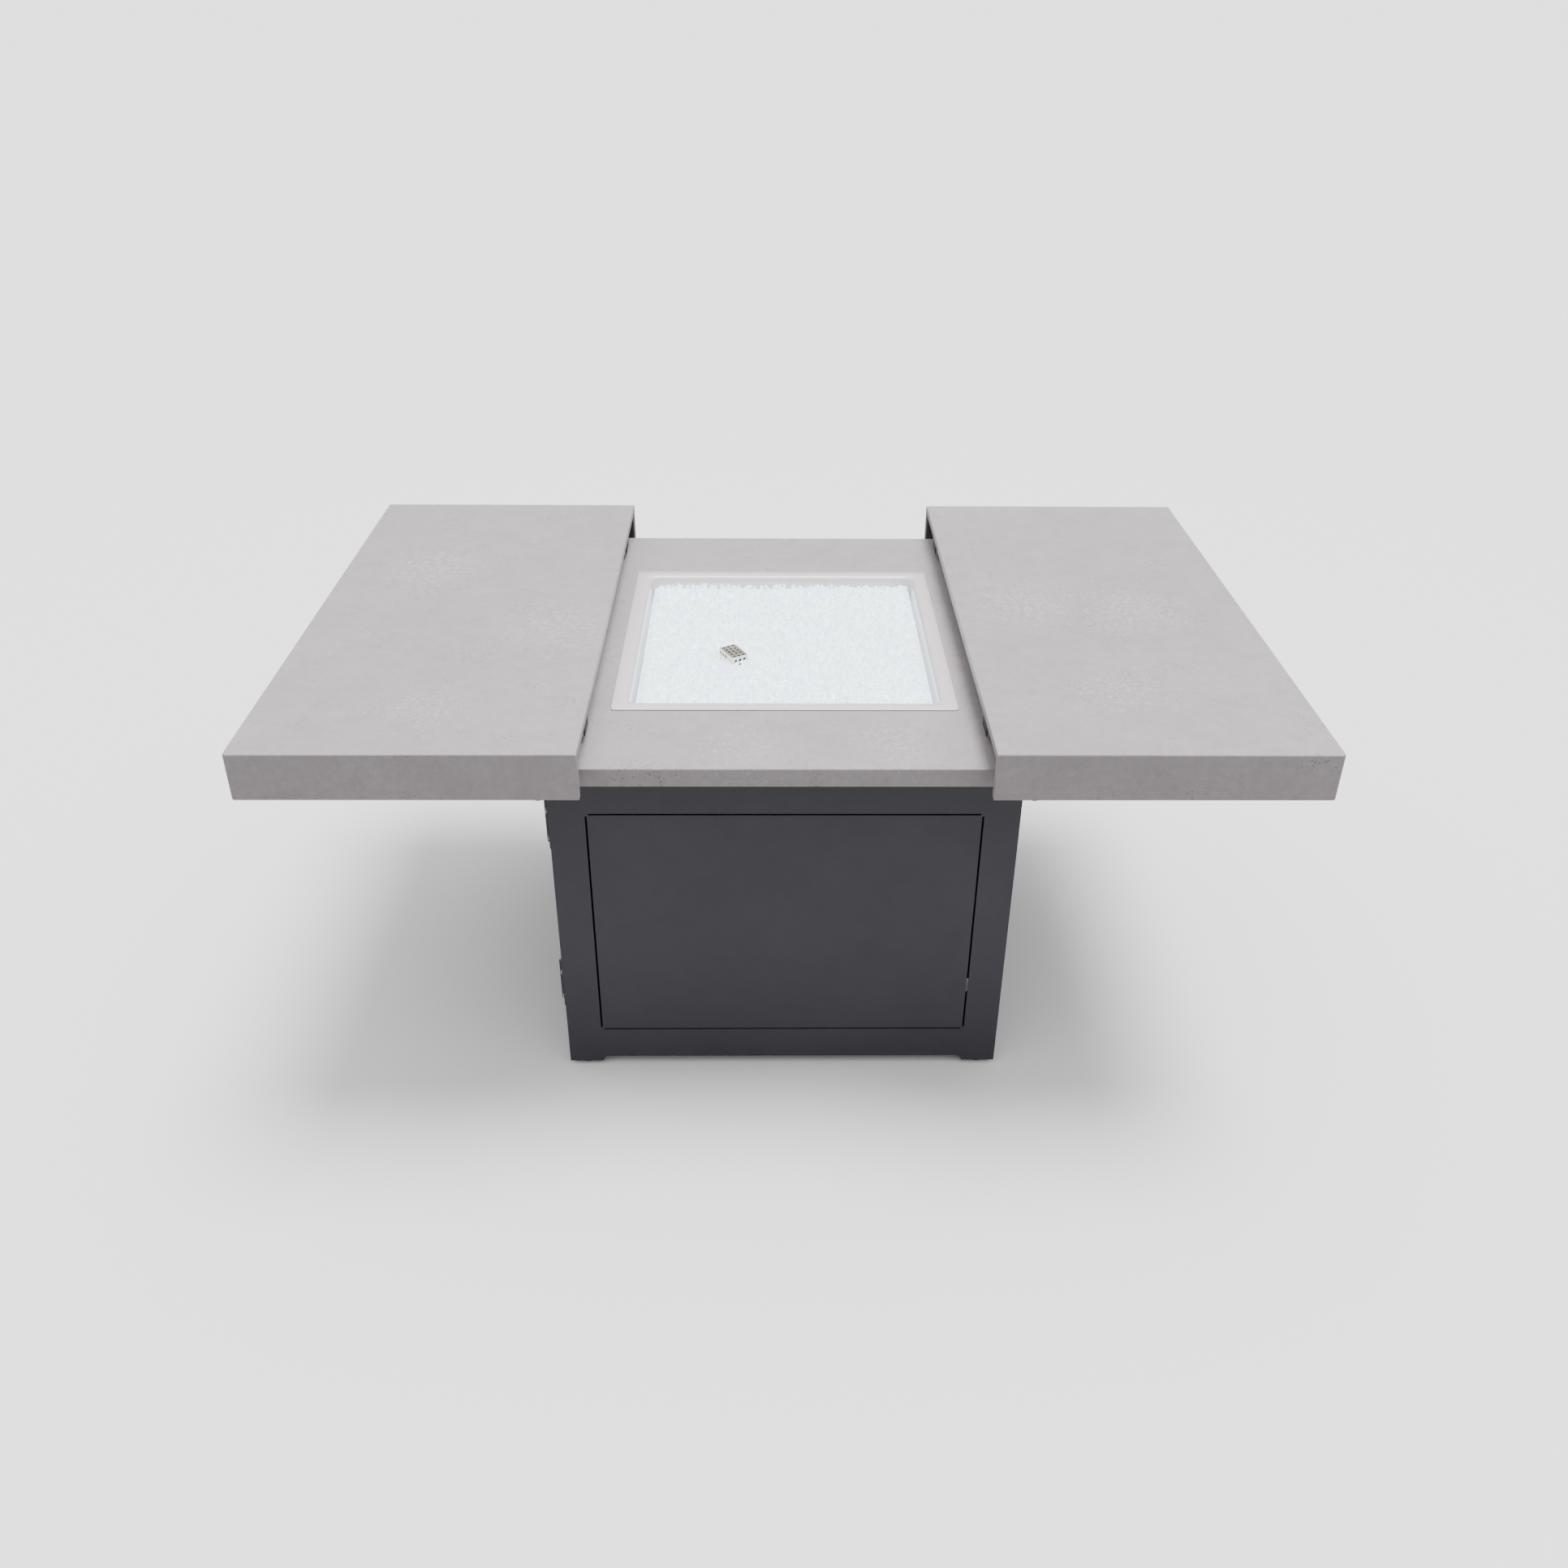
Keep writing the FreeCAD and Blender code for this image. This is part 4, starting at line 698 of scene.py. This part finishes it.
def hose_line():
    """The smooth line the hose follows, read from a spline through its route."""
    start, end = Vector((0.266, -0.150, 0.542)), Vector((0.036, 0.0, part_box("gas_hose")[0].z + 0.006))
    reach = start - end
    route = [start]
    for across, back, up in HOSE_ROUTE:
        route.append(end + Vector((reach.x * across, reach.y * back, reach.z * up)))
    route.append(end)
    curve = bpy.data.curves.new("hose_line", "CURVE")
    curve.dimensions = "3D"
    spline = curve.splines.new("NURBS")
    spline.points.add(len(route) - 1)
    for point, place in zip(spline.points, route):
        point.co = (*place, 1)
    spline.order_u = 3
    spline.use_endpoint_u = True
    spline.resolution_u = 24
    holder = bpy.data.objects.new("hose_line", curve)
    data = bpy.data.meshes.new_from_object(holder)
    points = [vertex.co.copy() for vertex in data.vertices]
    bpy.data.meshes.remove(data)
    bpy.data.objects.remove(holder)
    bpy.data.curves.remove(curve)
    return points


def make_hose():
    """The gas hose, corrugated between two plain swaged ends."""
    points = hose_line()
    lengths = [0.0]
    for before, after in zip(points, points[1:]):
        lengths.append(lengths[-1] + (after - before).length)
    total = lengths[-1]
    mesh = bmesh.new()
    rings, place = [], 0
    for index in range(int(total / HOSE_STEP) + 1):
        travelled = min(index * HOSE_STEP, total)
        while place < len(points) - 2 and lengths[place + 1] < travelled:
            place += 1
        along = points[place + 1] - points[place]
        centre = points[place] + along * ((travelled - lengths[place]) / along.length)
        plain = travelled < HOSE_END or travelled > total - HOSE_END
        radius = 0.0060 if plain else (0.0060, 0.0057, 0.0050, 0.0057)[index % 4]
        turn = Matrix.Translation(centre) @ along.to_track_quat("Z", "Y").to_matrix().to_4x4()
        ring = bmesh.ops.create_circle(mesh, segments=16, radius=radius, matrix=turn)
        rings.append(ring["verts"])
    lofted(mesh, rings)
    mesh.faces.new(rings[0][::-1])
    mesh.faces.new(rings[-1])
    bmesh.ops.recalc_face_normals(mesh, faces=mesh.faces)
    smooth_within(mesh, 50)
    new_piece("gas_hose_tube", mesh, "gas_hose")


def make_gas_train():
    make_hose()
    for node in ("gas_valve", "gas_inlet", "air_mixer", "burner_inlet"):
        softened(node, 0.0004)
    crisp("burner_tube")


def make_sliding_gear():
    for word in HALVES:
        for node in ("slide_rails", "rail_stops", "trolleys", "inner_rollers", "outer_rollers"):
            softened(f"{word}_{node}", 0.0004)
    softened("roller_axles", 0.0003)


def screw_head(mesh, low, high):
    """A pan head with a hexagon socket, between the two corners of its CAD solid."""
    size = high - low
    axis = min(range(3), key=lambda index: size[index])
    radius, height = max(size) / 2, size[axis]
    outward = 1.0
    middle = (low + high) / 2
    if axis == 2:
        outward = 1.0 if middle.z < 0.64 else -1.0
    if axis == 0:
        outward = 1.0 if middle.x > 0 else -1.0
    ring = bmesh.ops.create_circle(mesh, segments=24, radius=radius, cap_ends=True)
    top = ring["verts"][0].link_faces[0]
    made = list(ring["verts"])
    for inward, rise in ((0.0, 0.62), (0.10, 0.26), (0.22, 0.12)):
        before = set(mesh.verts)
        if inward:
            bmesh.ops.inset_region(mesh, faces=[top], thickness=radius * inward, depth=0)
        else:
            lifted = bmesh.ops.extrude_face_region(mesh, geom=[top])
            top = next(item for item in lifted["geom"] if isinstance(item, bmesh.types.BMFace))
        for vertex in top.verts:
            vertex.co.z += height * rise
        made.extend(vertex for vertex in mesh.verts if vertex not in before)
    before = set(mesh.verts)
    bmesh.ops.inset_region(mesh, faces=[top], thickness=radius * 0.2, depth=0)
    for index, vertex in enumerate(top.verts):
        angle = math.tau * index / len(top.verts)
        apothem = radius * 0.38
        reach = apothem / math.cos((angle % (math.pi / 3)) - math.pi / 6)
        vertex.co.x, vertex.co.y = math.cos(angle) * reach, math.sin(angle) * reach
    socket = bmesh.ops.extrude_face_region(mesh, geom=[top])
    for item in socket["geom"]:
        if isinstance(item, bmesh.types.BMVert):
            item.co.z -= height * 0.62
    bmesh.ops.delete(mesh, geom=[top], context="FACES_ONLY")
    made.extend(vertex for vertex in mesh.verts if vertex not in before)
    turn = {0: Matrix.Rotation(math.pi / 2 * outward, 3, "Y"),
            2: Matrix.Rotation(0 if outward > 0 else math.pi, 3, "X")}
    foot = middle.copy()
    foot[axis] = low[axis] if outward > 0 else high[axis]
    for vertex in set(made):
        vertex.co = turn[axis] @ vertex.co + foot


def make_screws():
    for node in ("cabinet_screws", "door_screws", "left_frame_screws", "right_frame_screws"):
        mesh = bmesh.new()
        for low, high in islands(node):
            head = bmesh.new()
            screw_head(head, low, high)
            data = bpy.data.meshes.new("head")
            bmesh.ops.recalc_face_normals(head, faces=head.faces)
            if head.calc_volume(signed=True) < 0:
                bmesh.ops.reverse_faces(head, faces=head.faces)
            head.to_mesh(data)
            head.free()
            mesh.from_mesh(data)
            bpy.data.meshes.remove(data)
        new_piece(f"{node}_heads", mesh, node)


def make_feet():
    for word in HALVES:
        for end in ("front", "back"):
            softened(f"{end}_{word}_foot", 0.0006)


# ---- stage

def area_light(name, at, toward, size, power):
    lamp = bpy.data.lights.new(name, "AREA")
    lamp.shape = "RECTANGLE"
    lamp.size, lamp.size_y = size
    lamp.energy = power
    light = bpy.data.objects.new(name, lamp)
    light.location = at
    light.rotation_euler = (Vector(toward) - Vector(at)).to_track_quat("-Z", "Y").to_euler()
    bpy.context.scene.collection.objects.link(light)


def make_stage():
    """A pale floor, a white sky, soft lights and the camera."""
    mesh = bmesh.new()
    bmesh.ops.create_grid(mesh, x_segments=1, y_segments=1, size=60)
    data = bpy.data.meshes.new("floor")
    mesh.to_mesh(data)
    mesh.free()
    floor = bpy.data.objects.new("floor", data)
    bpy.context.scene.collection.objects.link(floor)
    material = bpy.data.materials.new("floor")
    material.use_nodes = True
    tree = material.node_tree
    shader = tree.nodes["Principled BSDF"]
    seen = tree.nodes.new("ShaderNodeLightPath").outputs["Is Camera Ray"]
    tree.links.new(mix(tree, seen, (0.30, 0.30, 0.30), (0.90, 0.90, 0.90)), shader.inputs["Base Color"])
    shader.inputs["Roughness"].default_value = 0.9
    shader.inputs["Specular IOR Level"].default_value = 0.1
    data.materials.append(material)

    world = bpy.data.worlds.new("studio")
    world.use_nodes = True
    tree = world.node_tree
    background = tree.nodes["Background"]
    background.inputs["Color"].default_value = (1, 1, 1, 1)
    split = tree.nodes.new("ShaderNodeSeparateXYZ")
    tree.links.new(tree.nodes.new("ShaderNodeTexCoord").outputs["Generated"], split.inputs["Vector"])
    glow = remap(tree, split.outputs["Z"], 0.0, 1, 0.10, 1.9)
    seen = tree.nodes.new("ShaderNodeLightPath").outputs["Is Camera Ray"]
    tree.links.new(remap(tree, seen, 0, 1, glow, 1.95), background.inputs["Strength"])
    bpy.context.scene.world = world

    key = bpy.data.lights.new("key", "SUN")
    key.energy = 4.7
    key.angle = math.radians(26)
    light = bpy.data.objects.new("key", key)
    light.rotation_euler = Vector((-0.17, -0.07, -1)).to_track_quat("-Z", "Y").to_euler()
    bpy.context.scene.collection.objects.link(light)
    area_light("overhead", (0.3, 0.8, 2.7), (0, 0, 0.5), (2.6, 1.2), 9)

    # heading, tilt and roll of the camera, in degrees
    heading, tilt, roll = (math.radians(angle) for angle in (0.943, 30.12, 0.527))
    forward = Vector((math.sin(heading) * math.cos(tilt), math.cos(heading) * math.cos(tilt), -math.sin(tilt)))
    level = Vector((math.cos(heading), -math.sin(heading), 0))
    upward = level.cross(forward)
    across = math.cos(roll) * level + math.sin(roll) * upward
    above = -math.sin(roll) * level + math.cos(roll) * upward
    lens = bpy.data.cameras.new("camera")
    lens.sensor_width = 36
    lens.lens = 31.23
    lens.shift_y = -0.030
    camera = bpy.data.objects.new("camera", lens)
    turn = Matrix((across, above, -forward)).transposed().to_4x4()
    camera.matrix_world = Matrix.Translation((-0.0295, -1.9707, 1.5707)) @ turn
    bpy.context.scene.collection.objects.link(camera)
    bpy.context.scene.camera = camera


# ---- operators and panel

class FIRETABLE_OT_stage(bpy.types.Operator):
    """Floor, sky, lights and camera"""
    bl_idname = "firetable.stage"
    bl_label = "Stage"
    bl_options = {"REGISTER", "UNDO"}

    def execute(self, context):
        make_stage()
        return {"FINISHED"}


class FIRETABLE_OT_top_halves(bpy.types.Operator):
    """Both cast halves with their frames and bumpers"""
    bl_idname = "firetable.top_halves"
    bl_label = "Top halves"
    bl_options = {"REGISTER", "UNDO"}

    def execute(self, context):
        make_top_halves()
        return {"FINISHED"}


class FIRETABLE_OT_deck(bpy.types.Operator):
    """The cast deck round the pan"""
    bl_idname = "firetable.deck"
    bl_label = "Deck"
    bl_options = {"REGISTER", "UNDO"}

    def execute(self, context):
        make_deck()
        return {"FINISHED"}


class FIRETABLE_OT_pan(bpy.types.Operator):
    """The pressed pan that holds the glass"""
    bl_idname = "firetable.pan"
    bl_label = "Burner pan"
    bl_options = {"REGISTER", "UNDO"}

    def execute(self, context):
        make_pan()
        return {"FINISHED"}


class FIRETABLE_OT_glass(bpy.types.Operator):
    """The bed of crushed glass"""
    bl_idname = "firetable.glass"
    bl_label = "Fire glass"
    bl_options = {"REGISTER", "UNDO"}

    def execute(self, context):
        make_glass()
        return {"FINISHED"}


class FIRETABLE_OT_igniter(bpy.types.Operator):
    """The perforated cage and its probes"""
    bl_idname = "firetable.igniter"
    bl_label = "Igniter"
    bl_options = {"REGISTER", "UNDO"}

    def execute(self, context):
        make_igniter()
        return {"FINISHED"}


class FIRETABLE_OT_cabinet(bpy.types.Operator):
    """Panels, posts, rails and tray"""
    bl_idname = "firetable.cabinet"
    bl_label = "Cabinet"
    bl_options = {"REGISTER", "UNDO"}

    def execute(self, context):
        make_cabinet()
        return {"FINISHED"}


class FIRETABLE_OT_door(bpy.types.Operator):
    """The access door and its hinges"""
    bl_idname = "firetable.door"
    bl_label = "Door"
    bl_options = {"REGISTER", "UNDO"}

    def execute(self, context):
        make_door()
        return {"FINISHED"}


class FIRETABLE_OT_controls(bpy.types.Operator):
    """Plate, knob and push button"""
    bl_idname = "firetable.controls"
    bl_label = "Controls"
    bl_options = {"REGISTER", "UNDO"}

    def execute(self, context):
        make_controls()
        return {"FINISHED"}


class FIRETABLE_OT_gas_train(bpy.types.Operator):
    """Valve, hose, mixer and burner"""
    bl_idname = "firetable.gas_train"
    bl_label = "Gas train"
    bl_options = {"REGISTER", "UNDO"}

    def execute(self, context):
        make_gas_train()
        return {"FINISHED"}


class FIRETABLE_OT_sliding_gear(bpy.types.Operator):
    """Rails, trolleys, rollers and stops"""
    bl_idname = "firetable.sliding_gear"
    bl_label = "Sliding gear"
    bl_options = {"REGISTER", "UNDO"}

    def execute(self, context):
        make_sliding_gear()
        return {"FINISHED"}


class FIRETABLE_OT_screws(bpy.types.Operator):
    """Screw heads"""
    bl_idname = "firetable.screws"
    bl_label = "Screws"
    bl_options = {"REGISTER", "UNDO"}

    def execute(self, context):
        make_screws()
        return {"FINISHED"}


class FIRETABLE_OT_feet(bpy.types.Operator):
    """The levelling feet"""
    bl_idname = "firetable.feet"
    bl_label = "Feet"
    bl_options = {"REGISTER", "UNDO"}

    def execute(self, context):
        make_feet()
        return {"FINISHED"}


OPERATORS = [
    FIRETABLE_OT_stage,
    FIRETABLE_OT_top_halves,
    FIRETABLE_OT_deck,
    FIRETABLE_OT_pan,
    FIRETABLE_OT_glass,
    FIRETABLE_OT_igniter,
    FIRETABLE_OT_cabinet,
    FIRETABLE_OT_door,
    FIRETABLE_OT_controls,
    FIRETABLE_OT_gas_train,
    FIRETABLE_OT_sliding_gear,
    FIRETABLE_OT_screws,
    FIRETABLE_OT_feet,
]


class FIRETABLE_PT_panel(bpy.types.Panel):
    """Lists the table's pieces"""
    bl_label = "Fire Pit Table"
    bl_idname = "FIRETABLE_PT_panel"
    bl_space_type = "VIEW_3D"
    bl_region_type = "UI"
    bl_category = "Fire Pit"

    def draw(self, context):
        for group in (context.scene.fire_table_sizes, context.scene.fire_table_colours):
            for name in group.bl_rna.properties.keys():
                if name not in ("name", "rna_type"):
                    self.layout.prop(group, name)
        for entry in OPERATORS:
            self.layout.operator(entry.bl_idname)


CLASSES = [FireTableSizes, FireTableColours, *OPERATORS, FIRETABLE_PT_panel]


def register():
    for entry in CLASSES:
        bpy.utils.register_class(entry)
    bpy.types.Scene.fire_table_sizes = bpy.props.PointerProperty(type=FireTableSizes)
    bpy.types.Scene.fire_table_colours = bpy.props.PointerProperty(type=FireTableColours)


def unregister():
    del bpy.types.Scene.fire_table_colours
    del bpy.types.Scene.fire_table_sizes
    for entry in reversed(CLASSES):
        bpy.utils.unregister_class(entry)


def main():
    register()
    for entry in OPERATORS:
        getattr(bpy.ops.firetable, entry.bl_idname.split(".")[1])()
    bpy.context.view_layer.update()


if __name__ == "__main__":
    main()
